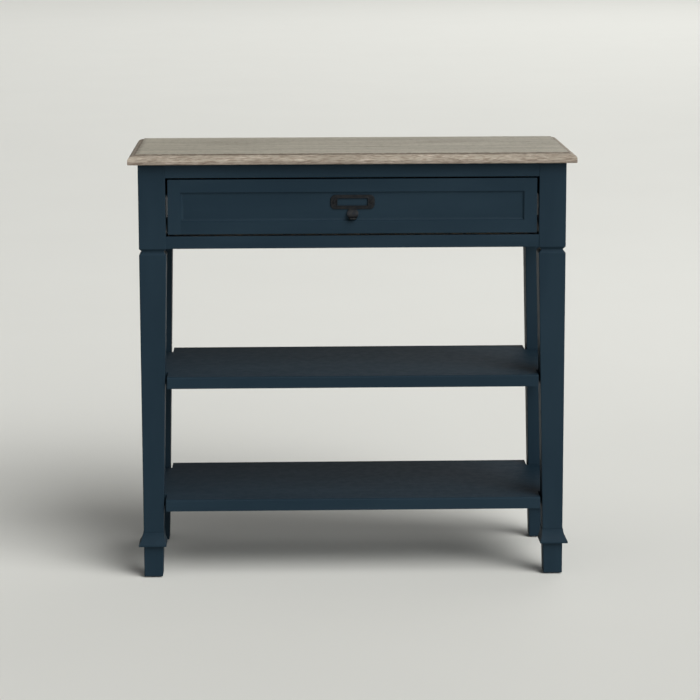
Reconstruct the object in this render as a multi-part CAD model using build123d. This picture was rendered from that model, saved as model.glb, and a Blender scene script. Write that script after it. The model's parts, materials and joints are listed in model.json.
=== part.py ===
from build123d import *
import math
import os

# Kitchen island table: a moulded top on four tapered legs, with one inset drawer on
# ball-bearing slides and two open shelves. Millimetres, +Z up, the origin on the floor
# under the middle of the top. X runs along the length and the drawer opens towards -Y.

# ---------------------------------------------------------------- driving dimensions

# Overall
table_height = 914.0
top_length = 942.0
top_depth = 406.0
top_thickness = 22.0
top_overhang = 20.5            # from the legs' outer faces to the edge of the top

# Moulded edge of the top: a small step down from the flat, then a quarter-ellipse
edge_inset = 16.0
edge_step = 2.0
edge_round = 11.0
edge_arris = 1.0

# Legs: a square block, a V-groove under it, and a shaft that tapers on its two inner faces
leg_block = 57.0
apron_height = 179.0
groove_depth = 5.0
groove_upper = 5.0
groove_flat = 2.0
groove_lower = 6.5
ankle_height = 100.0
ankle_width = 43.0
foot_width = 40.0
leg_corner_radius = 1.5
foot_edge_radius = 3.0
foot_edge_steps = 4

# Collar round each ankle
collar_bottom = 70.5
collar_lip = 3.5
collar_outer_flare = 10.5
collar_inner_flare = 6.5
collar_top_edge = 1.0
collar_hollow = 1.6            # how far the flare is scooped in from a straight slope

# Glides under the feet
glide_radius = 11.0
glide_thickness = 2.0
glide_pin_radius = 1.5
glide_pin_length = 14.0

# Rails and aprons
rail_thickness = 20.0
rail_setback = 1.0
top_rail_height = 29.5
bottom_rail_height = 26.2
bottom_rail_depth = 55.0       # laid flat, almost as deep as the legs, under the drawer front
side_apron_thickness = 19.0
board_ease = 0.8               # softened long edges of plain boards

# Corner blocks with hanger bolts
block_height = 28.0
block_thickness = 22.0
block_gap = 3.0                # between the block and the leg's inner corner
bolt_radius = 4.0
bolt_grip = 35.0               # length of the bolt inside the leg
bolt_end = 4.0                 # thread that shows past the nut
washer_radius = 9.0
washer_thickness = 1.6
nut_across_flats = 13.0
nut_height = 6.5

# Dowels and screws
dowel_radius = 4.0
dowel_half_length = 20.0
apron_dowel_margin = 30.0      # from an apron's edge to its outer dowels
hole_clearance = 0.1
hole_end_gap = 1.0
screw_radius = 2.0
screw_head_radius = 4.0
screw_tip_radius = 0.5
top_screw_bite = 15.0          # length inside the top
top_screw_spread = 35.0        # to each side of the corner bolt

# Shelves
shelf_thickness = 25.0
upper_shelf_top = 439.0
lower_shelf_top = 172.0
shelf_proud = 5.5              # front and back edges stand proud of the legs
shelf_end_setback = 4.5        # ends stay inside the legs' outer faces
shelf_notch_gap = 4.5
shelf_edge_radius = 3.5
shelf_end_radius = 1.5
shelf_rail_height = 30.0
shelf_rail_width = 20.0
shelf_rail_inset = 14.5        # from the legs' outer side faces
shelf_screw_bite = 14.0
shelf_screw_end = 45.0         # from a leg to the nearest screw

# Drawer slides
slide_thickness = 12.7
slide_height = 45.0
slide_start = 2.5              # behind the back of the drawer front
slide_end_gap = 5.5            # short of the back of the drawer box
slide_middle_short = 20.0      # how much shorter the middle members are
slide_overlap = 20.0           # length that stays nested when the drawer is fully out
slide_sheet = 1.2
slide_ball_gap = 3.0
slide_ball_play = 0.1          # balls are this much smaller than their gap
slide_balls_in_row = 10
slide_ball_end = 10.0          # from a row's ends to where its members part when fully out
slide_lip = 2.0
slide_flange = 9.0             # depth of the flanges past the web
slide_play = 1.0               # between the webs and tips of nested members
slide_screw_radius = 1.8
slide_screw_length = 16.0
slide_screw_end = 10.0         # last screw, from the end of the cleat
slide_screw_shares = (-0.5, 0.0, 0.5)      # of the way from the middle to the legs
cleat_screw_shares = (-0.75, 0.25, 0.75)   # the same, between the slide's own screws
drawer_screw_length = 10.0
drawer_screw_end = 40.0        # from the ends of the inner members
pan_head_height = 2.0
cleat_screw_bite = 12.0

# Drawer box
drawer_board = 12.0
box_bottom_gap = 9.0           # above the bottom rail
box_top_gap = 10.5             # below the top rail
box_back_gap = 16.0            # in front of the back apron
drawer_bottom_thickness = 5.0
drawer_bottom_height = 8.0     # above the lower edges of the box
drawer_groove_depth = 6.5
drawer_bottom_gap = 0.5        # between the bottom panel's edges and the floors of its grooves
drawer_dowel_radius = 3.0
drawer_dowel_deep = 16.0
drawer_dowel_shallow = 8.0
drawer_dowel_margin = 27.0

# Drawer front: a frame with a cove round a sunk panel
front_side_gap = 4.5
front_top_gap = 3.5
front_bottom_gap = 4.3
front_thickness = 19.0
front_frame = 27.0
cove_width = 6.0
cove_depth = 4.0
panel_thickness = 9.0
panel_tongue = 6.0
panel_gap = 0.2
front_screw_bite = 14.0
front_screw_inset = 130.0      # from the ends of the drawer front

# Pull: a card frame with two screwed ears and a curved finger tab
pull_width = 93.0
pull_height = 30.0
pull_thickness = 2.4
pull_corner_radius = 10.0
pull_window_width = 64.0
pull_window_height = 15.5
pull_window_radius = 1.5
pull_top_gap = 0.8             # below the cove
pull_chamfer = 0.7
pull_bezel = 2.0
pull_bezel_rise = 0.8
card_slot_depth = 0.9
card_slot_margin = 3.0
tab_width = 24.0
tab_height = 23.0
tab_neck = 17.0
tab_root = 1.5                 # overlap of the tab and the plate
tab_bend_radius = 24.0
tab_bend_angle = 60.0
tab_bead_radius = 2.1
pull_screw_radius = 1.5
pull_screw_head_radius = 3.2
pull_screw_head_height = 1.8
pull_screw_length = 10.0
pull_screw_inset = 7.5         # from the pull's ends
screw_slot_width = 0.8
screw_slot_depth = 0.8

# ---------------------------------------------------------------- places that follow

LEFT, RIGHT = -1, 1
FRONT, REAR = -1, 1
SIDES = {"left": LEFT, "right": RIGHT}
ENDS = {"front": FRONT, "rear": REAR}

top_bottom = table_height - top_thickness
leg_outer_x = top_length / 2 - top_overhang
leg_outer_y = top_depth / 2 - top_overhang
apron_bottom = top_bottom - apron_height
shaft_top = apron_bottom - groove_upper - groove_flat - groove_lower
opening_half = leg_outer_x - leg_block
leg_inner_y = leg_outer_y - leg_block

rail_face_y = leg_outer_y - rail_setback
rail_back_y = rail_face_y - rail_thickness
rail_mid_y = rail_face_y - rail_thickness / 2
bottom_rail_mid_y = rail_face_y - bottom_rail_depth / 2
side_apron_face_x = leg_outer_x - rail_setback
side_apron_back_x = side_apron_face_x - side_apron_thickness
side_apron_mid_x = side_apron_face_x - side_apron_thickness / 2
shelf_rail_x = leg_outer_x - shelf_rail_inset - shelf_rail_width / 2
bolt_z = top_bottom - block_height / 2
bolt_length = bolt_grip + block_gap + block_thickness + washer_thickness + nut_height + bolt_end
top_rail_bottom = top_bottom - top_rail_height
bottom_rail_top = apron_bottom + bottom_rail_height

front_face = -rail_face_y
front_back = front_face + front_thickness
front_half = opening_half - front_side_gap
front_bottom = bottom_rail_top + front_bottom_gap
front_top = top_rail_bottom - front_top_gap
panel_face = front_face + cove_depth

box_half = opening_half - slide_thickness
box_inner_half = box_half - drawer_board
box_bottom = bottom_rail_top + box_bottom_gap
box_top = top_rail_bottom - box_top_gap
box_back = rail_back_y - box_back_gap
inner_front_back = front_back + drawer_board
slide_z = (bottom_rail_top + top_rail_bottom) / 2
slide_front = front_back + slide_start
slide_back = box_back - slide_end_gap
drawer_travel = slide_back - slide_front - slide_overlap
slide_middle_height = slide_height - 2 * slide_sheet - 2 * slide_ball_gap
slide_inner_height = slide_middle_height - 2 * slide_sheet - 2 * slide_ball_gap
slide_tips = slide_sheet + slide_flange
slide_middle_web = slide_sheet + slide_play

pull_top = front_top - front_frame - cove_width - pull_top_gap
pull_mid_z = pull_top - pull_height / 2

# ---------------------------------------------------------------- shared shapes

CORNERS = [(side, end) for side in (LEFT, RIGHT) for end in (FRONT, REAR)]
FROM_BASE = (Align.CENTER, Align.CENTER, Align.MIN)


def block(x, y, z):
    """A square-edged block between two x, two y and two z values."""
    size = (abs(x[1] - x[0]), abs(y[1] - y[0]), abs(z[1] - z[0]))
    return Pos(sum(x) / 2, sum(y) / 2, sum(z) / 2) * Box(*size)


def board(x, y, z, along, ease=board_ease):
    """A block whose edges along one axis are rounded."""
    blank = block(x, y, z)
    return fillet(blank.edges().filter_by(along), ease)


def rod(start, direction, length, radius):
    """A round rod from a point, along a direction."""
    place = Plane(origin=start, z_dir=direction).location
    return place * Cylinder(radius, length, align=FROM_BASE)


def wood_screw(seat, direction, length, radius, head_radius):
    """A countersunk screw: the middle of its flat head is at seat."""
    head_height = head_radius - radius
    point_length = 2 * radius
    head = Cone(head_radius, radius, head_height, align=FROM_BASE)
    shank_length = length - head_height - point_length
    shank = Pos(0, 0, head_height) * Cylinder(radius, shank_length, align=FROM_BASE)
    point = Pos(0, 0, length - point_length) * Cone(radius, screw_tip_radius, point_length, align=FROM_BASE)
    return Plane(origin=seat, z_dir=direction).location * (head + shank + point)


def screw_hole(seat, direction, length, radius, head_radius):
    """The countersunk hole that a wood_screw of the same sizes turns into."""
    shank = rod(seat, direction, length + hole_end_gap, radius + hole_clearance)
    sink_radius = head_radius + hole_clearance
    sink = Cone(sink_radius, radius + hole_clearance, head_radius - radius, align=FROM_BASE)
    return shank + Plane(origin=seat, z_dir=direction).location * sink


def dowel(joint, direction, ahead, behind, radius):
    """A dowel across a joint, and the hole for it."""
    axis = Vector(*direction)
    start = Vector(*joint) - axis * behind
    hole_start = start - axis * hole_end_gap
    pin = rod(start, direction, ahead + behind, radius)
    hole = rod(hole_start, direction, ahead + behind + 2 * hole_end_gap, radius + hole_clearance)
    return pin, hole


def boxes_meet(a, b):
    """Whether the bounding boxes of two shapes meet."""
    box_a, box_b = a.bounding_box(), b.bounding_box()
    lows_a, highs_a = tuple(box_a.min), tuple(box_a.max)
    lows_b, highs_b = tuple(box_b.min), tuple(box_b.max)
    return all(lows_a[i] < highs_b[i] and lows_b[i] < highs_a[i] for i in range(3))


def drill(solid, holes):
    """The solid less every hole that reaches it."""
    reached = [hole for hole in holes if boxes_meet(solid, hole)]
    return solid - reached if reached else solid


def at_corner(solid, side, end):
    """A solid made at the front left corner, mirrored to the corner asked for."""
    if side == RIGHT:
        solid = mirror(solid, about=Plane.YZ)
    if end == REAR:
        solid = mirror(solid, about=Plane.XZ)
    return solid


def group(solids):
    """Separate solids that share one name, such as a set of screws."""
    return Compound(children=list(solids))


# ---------------------------------------------------------------- top


def moulded_bar(half, plane, length):
    """The top's moulded section, half wide to each side, run out both ways from a plane."""
    flat = half - edge_inset
    shoulder = table_height - edge_step
    belly = shoulder - edge_round
    arris = top_bottom + edge_arris
    outline = (
        Polyline((flat, shoulder), (flat, table_height), (-flat, table_height), (-flat, shoulder))
        + EllipticalCenterArc((-flat, belly), edge_inset, edge_round, 90, arc_size=90)
        + Polyline((-half, belly), (-half, arris), (-half + edge_arris, top_bottom))
        + Line((-half + edge_arris, top_bottom), (half - edge_arris, top_bottom))
        + Polyline((half - edge_arris, top_bottom), (half, arris), (half, belly))
        + EllipticalCenterArc((flat, belly), edge_inset, edge_round, 0, arc_size=90)
    )
    return extrude(plane * make_face(outline), length, both=True)


def tabletop():
    """Two moulded bars crossed, so that the moulding meets in mitres at the corners."""
    lengthwise = moulded_bar(top_length / 2, Plane.XZ, top_depth)
    across = moulded_bar(top_depth / 2, Plane.YZ, top_length)
    return lengthwise & across


# ---------------------------------------------------------------- legs and collars


def leg_width(z):
    """Width of a leg at a height."""
    if z >= shaft_top:
        return leg_block
    if z >= ankle_height:
        share = (z - ankle_height) / (shaft_top - ankle_height)
        return ankle_width + share * (leg_block - ankle_width)
    return foot_width + z / ankle_height * (ankle_width - foot_width)


def leg_blank():
    """The front left leg, lofted through its square sections."""
    neck_low = shaft_top + groove_lower
    stations = [
        (ankle_height, 0.0),
        (shaft_top, 0.0),
        (neck_low, groove_depth),
        (neck_low + groove_flat, groove_depth),
        (apron_bottom, 0.0),
        (top_bottom, 0.0),
    ]
    for step in range(foot_edge_steps, -1, -1):
        turn = math.radians(90 * step / foot_edge_steps)
        height = glide_thickness + foot_edge_radius * (1 - math.sin(turn))
        stations.insert(0, (height, foot_edge_radius * (1 - math.cos(turn))))
    stations.sort()
    sections = []
    for z, inset in stations:
        width = leg_width(z)
        centre = (-leg_outer_x + width / 2, -leg_outer_y + width / 2, z)
        square = RectangleRounded(width - 2 * inset, width - 2 * inset, leg_corner_radius)
        sections.append(Pos(*centre) * square)
    return loft(sections, ruled=True)


def collar_bar(outer, plane):
    """The collar's outline seen square on, run out both ways from a plane."""
    lip_top = collar_bottom + collar_lip
    outer_tip = outer - collar_outer_flare
    inner_tip = outer + leg_width(collar_bottom) + collar_inner_flare
    outer_top = outer - collar_top_edge
    inner_top = outer + leg_width(ankle_height) + collar_top_edge
    scoop_z = (lip_top + ankle_height - collar_hollow) / 2
    outer_scoop = ((outer_tip + outer_top) / 2 + collar_hollow, scoop_z)
    inner_scoop = ((inner_tip + inner_top) / 2 - collar_hollow, scoop_z)
    outline = (
        Polyline((outer_tip, lip_top), (outer_tip, collar_bottom), (inner_tip, collar_bottom))
        + Line((inner_tip, collar_bottom), (inner_tip, lip_top))
        + ThreePointArc((inner_tip, lip_top), inner_scoop, (inner_top, ankle_height))
        + Line((inner_top, ankle_height), (outer_top, ankle_height))
        + ThreePointArc((outer_top, ankle_height), outer_scoop, (outer_tip, lip_top))
    )
    return extrude(plane * make_face(outline), top_length, both=True)


def collar_blank(leg):
    """The front left collar: two outlines crossed, less the leg that passes through."""
    ring = collar_bar(-leg_outer_x, Plane.XZ) & collar_bar(-leg_outer_y, Plane.YZ)
    return ring - leg


def glide(side, end):
    """A nail-on glide: a disc on the floor and its pin."""
    x = side * (leg_outer_x - foot_width / 2)
    y = end * (leg_outer_y - foot_width / 2)
    disc = rod((x, y, 0), (0, 0, 1), glide_thickness, glide_radius)
    pin = rod((x, y, 0), (0, 0, 1), glide_thickness + glide_pin_length, glide_pin_radius)
    hole_length = glide_thickness + glide_pin_length + hole_end_gap
    hole = rod((x, y, 0), (0, 0, 1), hole_length, glide_pin_radius + hole_clearance)
    return disc + pin, hole


# ---------------------------------------------------------------- corner blocks and bolts


def corner_frame(side, end):
    """The inner corner of a leg's block, and the level direction from it into the table."""
    corner = Vector(side * opening_half, end * leg_inner_y, 0)
    inward = Vector(-side, -end, 0).normalized()
    along = Vector(-side, end, 0).normalized()
    return corner, inward, along


def corner_block(side, end):
    """A block set across the corner between the rail or apron and the side apron."""
    near = (opening_half + leg_inner_y) - block_gap * math.sqrt(2)
    far = near - block_thickness * math.sqrt(2)
    x, y = side_apron_back_x, rail_back_y
    outline = [(near - y, y), (far - y, y), (x, far - x), (x, near - x)]
    face = make_face(Polyline([(side * px, end * py) for px, py in outline], close=True))
    return extrude(Pos(0, 0, top_bottom - block_height) * face, block_height, dir=(0, 0, 1))


def corner_hardware(side, end):
    """The hanger bolt, washer and nut of one corner, with the hole for the bolt."""
    corner, inward, _ = corner_frame(side, end)
    level = Vector(0, 0, bolt_z)
    tip = corner + level - inward * bolt_grip
    seat = corner + level + inward * (block_gap + block_thickness)
    bolt = rod(tip, inward, bolt_length, bolt_radius)
    hole_start = tip - inward * hole_end_gap
    hole = rod(hole_start, inward, bolt_length + 2 * hole_end_gap, bolt_radius + hole_clearance)
    washer = rod(seat, inward, washer_thickness, washer_radius) - hole
    nut_place = Plane(origin=seat + inward * washer_thickness, z_dir=inward).location
    hexagon = RegularPolygon(nut_across_flats / 2, 6, major_radius=False)
    nut = nut_place * extrude(hexagon, nut_height) - hole
    return bolt, washer, nut, hole


def top_screw_seats():
    """Where the screws enter the corner blocks from below."""
    seats = []
    for side, end in CORNERS:
        corner, inward, along = corner_frame(side, end)
        middle = corner + inward * (block_gap + block_thickness / 2)
        for way in (-1, 1):
            spot = middle + along * (way * top_screw_spread)
            seats.append((spot.X, spot.Y, top_bottom - block_height))
    return seats


# ---------------------------------------------------------------- rails, aprons and their dowels


def frame_dowels():
    """Dowels between the rails or aprons and the legs, and their holes."""
    apron_heights = [
        apron_bottom + apron_dowel_margin,
        apron_bottom + apron_height / 2,
        top_bottom - apron_dowel_margin,
    ]
    top_rail_z = top_bottom - top_rail_height / 2
    bottom_rail_z = apron_bottom + bottom_rail_height / 2
    joints = []
    for side in SIDES.values():
        for y, z in ((rail_mid_y, top_rail_z), (bottom_rail_mid_y, bottom_rail_z)):
            joints.append(((side * opening_half, -y, z), (side, 0, 0)))
        for z in apron_heights:
            joints.append(((side * opening_half, rail_mid_y, z), (side, 0, 0)))
            for end in ENDS.values():
                joints.append(((side * side_apron_mid_x, end * leg_inner_y, z), (0, end, 0)))
    return [dowel(spot, way, dowel_half_length, dowel_half_length, dowel_radius) for spot, way in joints]


def long_rail(end, bottom, top, depth=rail_thickness):
    """A rail or apron between the two front or the two rear legs."""
    y = (end * (rail_face_y - depth), end * rail_face_y)
    return board((-opening_half, opening_half), y, (bottom, top), Axis.X)


def side_apron(side):
    """The apron between a front and a rear leg."""
    x = (side * side_apron_back_x, side * side_apron_face_x)
    return board(x, (-leg_inner_y, leg_inner_y), (apron_bottom, top_bottom), Axis.Y)


# ---------------------------------------------------------------- shelves and their rails


def shelf(top):
    """A shelf board with its four corners notched round the legs."""
    end_x = leg_outer_x - shelf_end_setback
    edge_y = leg_outer_y + shelf_proud
    notch_x = leg_outer_x - leg_width(top) - shelf_notch_gap
    notch_y = leg_outer_y - leg_width(top) - shelf_notch_gap
    z = (top - shelf_thickness, top)
    blank = block((-end_x, end_x), (-edge_y, edge_y), z)
    long_edges = blank.edges().filter_by(Axis.X).group_by(Axis.Z)
    blank = fillet(long_edges[-1], shelf_edge_radius)
    blank = fillet(blank.edges().filter_by(Axis.Y).group_by(Axis.Z)[-1], shelf_end_radius)
    for side, end in CORNERS:
        x = (side * notch_x, side * top_length)
        y = (end * notch_y, end * top_depth)
        blank -= block(x, y, (z[0] - shelf_thickness, z[1] + shelf_thickness))
    return blank


def shelf_rail(side, top):
    """The rail that carries one end of a shelf, its ends cut to the taper of its two legs."""
    z_low, z_high = top - shelf_thickness - shelf_rail_height, top - shelf_thickness
    y_low, y_high = leg_outer_y - leg_width(z_low), leg_outer_y - leg_width(z_high)
    outline = [(-y_low, z_low), (y_low, z_low), (y_high, z_high), (-y_high, z_high)]
    face = make_face(Polyline(outline, close=True))
    middle = Plane(origin=(side * shelf_rail_x, 0, 0), x_dir=(0, 1, 0), z_dir=(1, 0, 0))
    rail = extrude(middle * face, shelf_rail_width / 2, both=True)
    return fillet(rail.edges().filter_by(Axis.Y), board_ease)


def shelf_rail_spots(top):
    """The middle of each shelf rail's ends, where its dowels go."""
    z = top - shelf_thickness - shelf_rail_height / 2
    y = leg_outer_y - leg_width(z)
    return [((side * shelf_rail_x, end * y, z), (0, end, 0)) for side, end in CORNERS]


def shelf_screw_seats(top):
    """Where the screws enter the shelf rails from below."""
    z = top - shelf_thickness - shelf_rail_height
    y = leg_outer_y - leg_width(z) - shelf_screw_end
    return [(side * shelf_rail_x, end * y, z) for side, end in CORNERS]


# ---------------------------------------------------------------- drawer slides


def slide_member(side, web, tips, height, lip, y):
    """A rolled channel run between two depths: a web, two flanges and a lip on each flange.

    web and tips are how far its back and its flanges' tips stand from the frame's mounting face.
    """
    towards = math.copysign(slide_sheet, tips - web)
    half = height / 2
    inside = half - slide_sheet
    upper = [(web, half), (tips, half), (tips, inside - lip), (tips - towards, inside - lip)]
    upper += [(tips - towards, inside), (web + towards, inside)]
    if lip == 0:
        upper = [(web, half), (tips, half), (tips, inside), (web + towards, inside)]
    lower = [(s, -z) for s, z in reversed(upper)]
    section = [(side * (opening_half - s), slide_z + z) for s, z in upper + lower]
    start = Plane(origin=(0, y[0], 0), x_dir=(1, 0, 0), z_dir=(0, -1, 0))
    return extrude(start * make_face(Polyline(section, close=True)), y[1] - y[0], dir=(0, 1, 0))


def slide_members(side):
    """The outer, middle and inner members of one slide, nested with room for their balls."""
    inner_tips = slide_middle_web + slide_sheet + slide_play
    full = (slide_front, slide_back)
    short = (slide_front, slide_back - slide_middle_short)
    return {
        "outer": slide_member(side, 0, slide_tips, slide_height, slide_lip, full),
        "middle": slide_member(side, slide_middle_web, slide_tips, slide_middle_height, slide_lip, short),
        "inner": slide_member(side, slide_thickness, inner_tips, slide_inner_height, 0, full),
    }


def ball_rows(side):
    """The balls above and below the middle member, and above and below the inner one.

    Each row lies where its two members still overlap when the drawer is fully out.
    """
    middle_end = slide_back - slide_middle_short
    outer_span = (slide_front + drawer_travel / 2, middle_end)
    inner_span = (slide_front, slide_back - drawer_travel / 2)
    lip_face = slide_tips - slide_sheet
    outer_depth = (slide_middle_web + lip_face) / 2
    inner_depth = (slide_middle_web + slide_sheet + lip_face) / 2
    row_length = outer_span[1] - outer_span[0] - 2 * slide_ball_end
    pitch = row_length / (slide_balls_in_row - 1)
    rows = [
        (outer_depth, (slide_middle_height + slide_ball_gap) / 2, sum(outer_span) / 2),
        (inner_depth, (slide_inner_height + slide_ball_gap) / 2, sum(inner_span) / 2),
    ]
    balls = []
    for depth, rise, middle in rows:
        for way in (-1, 1):
            for count in range(slide_balls_in_row):
                y = middle - row_length / 2 + count * pitch
                place = Pos(side * (opening_half - depth), y, slide_z + way * rise)
                balls.append(place * Sphere((slide_ball_gap - slide_ball_play) / 2))
    return balls


def slide_screw_spots(side):
    """Seats of the screws through an outer member: one in the leg, the rest in the cleat."""
    x = side * (opening_half - slide_sheet)
    in_leg = (slide_front - leg_inner_y) / 2
    in_cleat = [share * leg_inner_y for share in slide_screw_shares]
    last = leg_inner_y - slide_screw_end
    return [(x, y, slide_z) for y in (in_leg, *in_cleat, last)]


def drawer_screw_spots(side):
    """Seats of the screws through an inner member into the drawer side."""
    x = side * (box_half + slide_sheet)
    middle = (slide_front + slide_back) / 2
    spots = (slide_front + drawer_screw_end, middle, slide_back - drawer_screw_end)
    return [(x, y, slide_z) for y in spots]


def pan_screw(spot, direction, length, radius):
    """A screw with a low round head standing on the surface at spot."""
    head = rod(spot, Vector(*direction) * -1, pan_head_height, 2 * radius)
    return head + rod(spot, direction, length, radius)


def slide_cleat(side):
    """The strip on the inside of a side apron that carries the slide between the legs."""
    x = (side * opening_half, side * side_apron_back_x)
    z = (slide_z - slide_height / 2, slide_z + slide_height / 2)
    return board(x, (-leg_inner_y, leg_inner_y), z, Axis.Y)


def cleat_screw_spots(side):
    """Seats of the screws through a cleat into its apron, clear of the slide's own screws."""
    return [(side * opening_half, share * leg_inner_y, slide_z) for share in cleat_screw_shares]


# ---------------------------------------------------------------- drawer front


def front_section():
    """Section of the drawer front's frame: inward from its outer edge, and back from its face."""
    foot = front_frame + cove_width
    outline = (
        Line((front_frame, 0), (board_ease, 0))
        + CenterArc((board_ease, board_ease), board_ease, 180, 90)
        + Polyline((0, board_ease), (0, front_thickness), (foot, front_thickness), (foot, cove_depth))
        + EllipticalCenterArc((foot, 0), cove_width, cove_depth, 90, arc_size=90)
    )
    return make_face(outline)


def front_stile(side):
    """An upright of the drawer front, with the cove along its inner edge."""
    foot = Plane(origin=(-front_half, front_face, front_bottom))
    stile = extrude(foot * front_section(), front_top - front_bottom)
    return mirror(stile, about=Plane.YZ) if side == RIGHT else stile


def front_rail(stiles):
    """The lower crosspiece of the drawer front, its ends coped over the uprights."""
    middle = Plane(origin=(0, front_face, front_bottom), x_dir=(0, 0, 1), z_dir=(-1, 0, 0))
    return extrude(middle * front_section(), front_half - front_frame, both=True) - stiles


def front_panel(gap=0.0):
    """The sunk panel, or the space for it with a gap all round its hidden edges."""
    reach = panel_tongue - front_frame - cove_width + gap
    x = front_half + reach
    z = (front_bottom - reach, front_top + reach)
    return block((-x, x), (panel_face, panel_face + panel_thickness + gap), z)


def front_screw_seats():
    """Where the screws enter the inner front from inside the drawer."""
    bottom_panel_top = box_bottom + drawer_bottom_height + drawer_bottom_thickness
    rows = (bottom_panel_top + screw_head_radius + board_ease, front_top - front_frame / 2)
    x = front_half - front_screw_inset
    return [(side * x, inner_front_back, z) for side in SIDES.values() for z in rows]


# ---------------------------------------------------------------- drawer box


def drawer_side(side):
    """A side of the drawer box, the full length of the box."""
    x = (side * box_inner_half, side * box_half)
    return board(x, (front_back, box_back), (box_bottom, box_top), Axis.Y)


def drawer_end(y):
    """The inner front or the back of the drawer box, between its sides."""
    return board((-box_inner_half, box_inner_half), y, (box_bottom, box_top), Axis.X)


def drawer_bottom(gap=0.0):
    """The drawer's bottom panel, or the groove for it with a gap round its edges."""
    reach = drawer_groove_depth - drawer_bottom_gap + gap
    x = box_inner_half + reach
    y = (inner_front_back - reach, box_back - drawer_board + reach)
    z = box_bottom + drawer_bottom_height
    slack = hole_clearance if gap else 0.0
    return block((-x, x), y, (z - slack, z + drawer_bottom_thickness + slack))


def drawer_dowels():
    """Dowels through the corners of the drawer box, and their holes."""
    depths = (front_back + drawer_board / 2, box_back - drawer_board / 2)
    heights = (box_bottom + drawer_dowel_margin, box_top - drawer_dowel_margin)
    pairs = []
    for side in SIDES.values():
        for y in depths:
            for z in heights:
                joint = (side * box_inner_half, y, z)
                pairs.append(
                    dowel(joint, (side, 0, 0), drawer_dowel_shallow, drawer_dowel_deep, drawer_dowel_radius)
                )
    return pairs


# ---------------------------------------------------------------- pull


def pull_tab():
    """The finger tab: a strip bent forwards out of the plate, with a bead along its lip."""
    start_z = -pull_height / 2 + tab_root
    half = pull_thickness / 2
    bend = (half + tab_bend_radius, start_z)
    angle = math.radians(tab_bend_angle)
    lip = (bend[0] - tab_bend_radius * math.cos(angle), start_z - tab_bend_radius * math.sin(angle))
    near, far = tab_bend_radius - half, tab_bend_radius + half
    back_arc = CenterArc(bend, far, 180, tab_bend_angle)
    front_arc = CenterArc(bend, near, 180, tab_bend_angle)
    outline = back_arc + Line(back_arc @ 1, front_arc @ 1) + front_arc + Line(front_arc @ 0, back_arc @ 0)
    bead = Pos(*lip) * Circle(tab_bead_radius)
    side_plane = Plane(origin=(0, panel_face, pull_mid_z), x_dir=(0, -1, 0), z_dir=(-1, 0, 0))
    strip = extrude(side_plane * (make_face(outline) + bead), tab_width / 2, both=True)
    bottom = lip[1] - tab_bead_radius
    face_plane = Plane(origin=(0, panel_face, pull_mid_z), x_dir=(1, 0, 0), z_dir=(0, -1, 0))
    lobe = Pos(0, bottom + tab_height / 2) * Ellipse(tab_width / 2, tab_height / 2)
    neck = Pos(0, start_z - tab_root / 2) * Rectangle(tab_neck, 2 * tab_root)
    return strip & extrude(face_plane * (lobe + neck), 2 * tab_bend_radius)


def pull():
    """Plate, raised bezel round the window, card slot behind it, and the finger tab."""
    plane = Plane(origin=(0, panel_face, pull_mid_z), x_dir=(1, 0, 0), z_dir=(0, -1, 0))
    plate = extrude(RectangleRounded(pull_width, pull_height, pull_corner_radius), pull_thickness)
    rim = plate.faces().sort_by(Axis.Z)[-1].edges()
    plate = chamfer(rim, pull_chamfer)
    bezel_width = pull_window_width + 2 * pull_bezel
    bezel_height = pull_window_height + 2 * pull_bezel
    bezel_radius = pull_window_radius + pull_bezel
    rise = pull_thickness + pull_bezel_rise
    bezel = extrude(RectangleRounded(bezel_width, bezel_height, bezel_radius), rise)
    bezel = fillet(bezel.faces().sort_by(Axis.Z)[-1].edges(), pull_bezel_rise / 2)
    window = extrude(RectangleRounded(pull_window_width, pull_window_height, pull_window_radius), rise)
    slot_half = pull_window_width / 2 + card_slot_margin
    slot_z = (-pull_window_height / 2 - card_slot_margin, pull_height / 2)
    slot = block((-slot_half, slot_half), slot_z, (0, card_slot_depth))
    return plane.location * (plate + bezel - window - slot) + pull_tab()


def pull_screw_spots():
    """Seats of the pull's two screws on the front of its plate."""
    x = pull_width / 2 - pull_screw_inset
    return [(side * x, panel_face - pull_thickness, pull_mid_z) for side in SIDES.values()]


def pull_screw(spot):
    """A small round-headed screw with a slot across its head."""
    outward = Plane(origin=spot, x_dir=(1, 0, 0), z_dir=(0, -1, 0)).location
    head = Cylinder(pull_screw_head_radius, pull_screw_head_height, align=FROM_BASE)
    head = fillet(head.faces().sort_by(Axis.Z)[-1].edges(), pull_screw_head_height / 2)
    slot_floor = pull_screw_head_height - screw_slot_depth
    slot = Pos(0, 0, slot_floor) * Box(
        2 * pull_screw_head_radius, screw_slot_width, 2 * screw_slot_depth, align=FROM_BASE
    )
    return outward * (head - slot) + rod(spot, (0, 1, 0), pull_screw_length, pull_screw_radius)


# ---------------------------------------------------------------- putting it together

parts = {}

# Fasteners and dowels come first, because every board is drilled for them
frame_pins, frame_pin_holes = zip(*frame_dowels())
bolts, washers, nuts, bolt_holes = zip(*[corner_hardware(side, end) for side, end in CORNERS])
glides, glide_holes = zip(*[glide(side, end) for side, end in CORNERS])
box_pins, box_pin_holes = zip(*drawer_dowels())

up, forwards, backwards = (0, 0, 1), (0, -1, 0), (0, 1, 0)
top_screw = (up, block_height + top_screw_bite, screw_radius, screw_head_radius)
shelf_screw = (up, shelf_rail_height + shelf_screw_bite, screw_radius, screw_head_radius)
front_screw = (forwards, drawer_board + front_screw_bite, screw_radius, screw_head_radius)
cleat_depth = side_apron_back_x - opening_half

top_screws = [wood_screw(seat, *top_screw) for seat in top_screw_seats()]
top_screw_holes = [screw_hole(seat, *top_screw) for seat in top_screw_seats()]
front_screws = [wood_screw(seat, *front_screw) for seat in front_screw_seats()]
front_screw_holes = [screw_hole(seat, *front_screw) for seat in front_screw_seats()]

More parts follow.
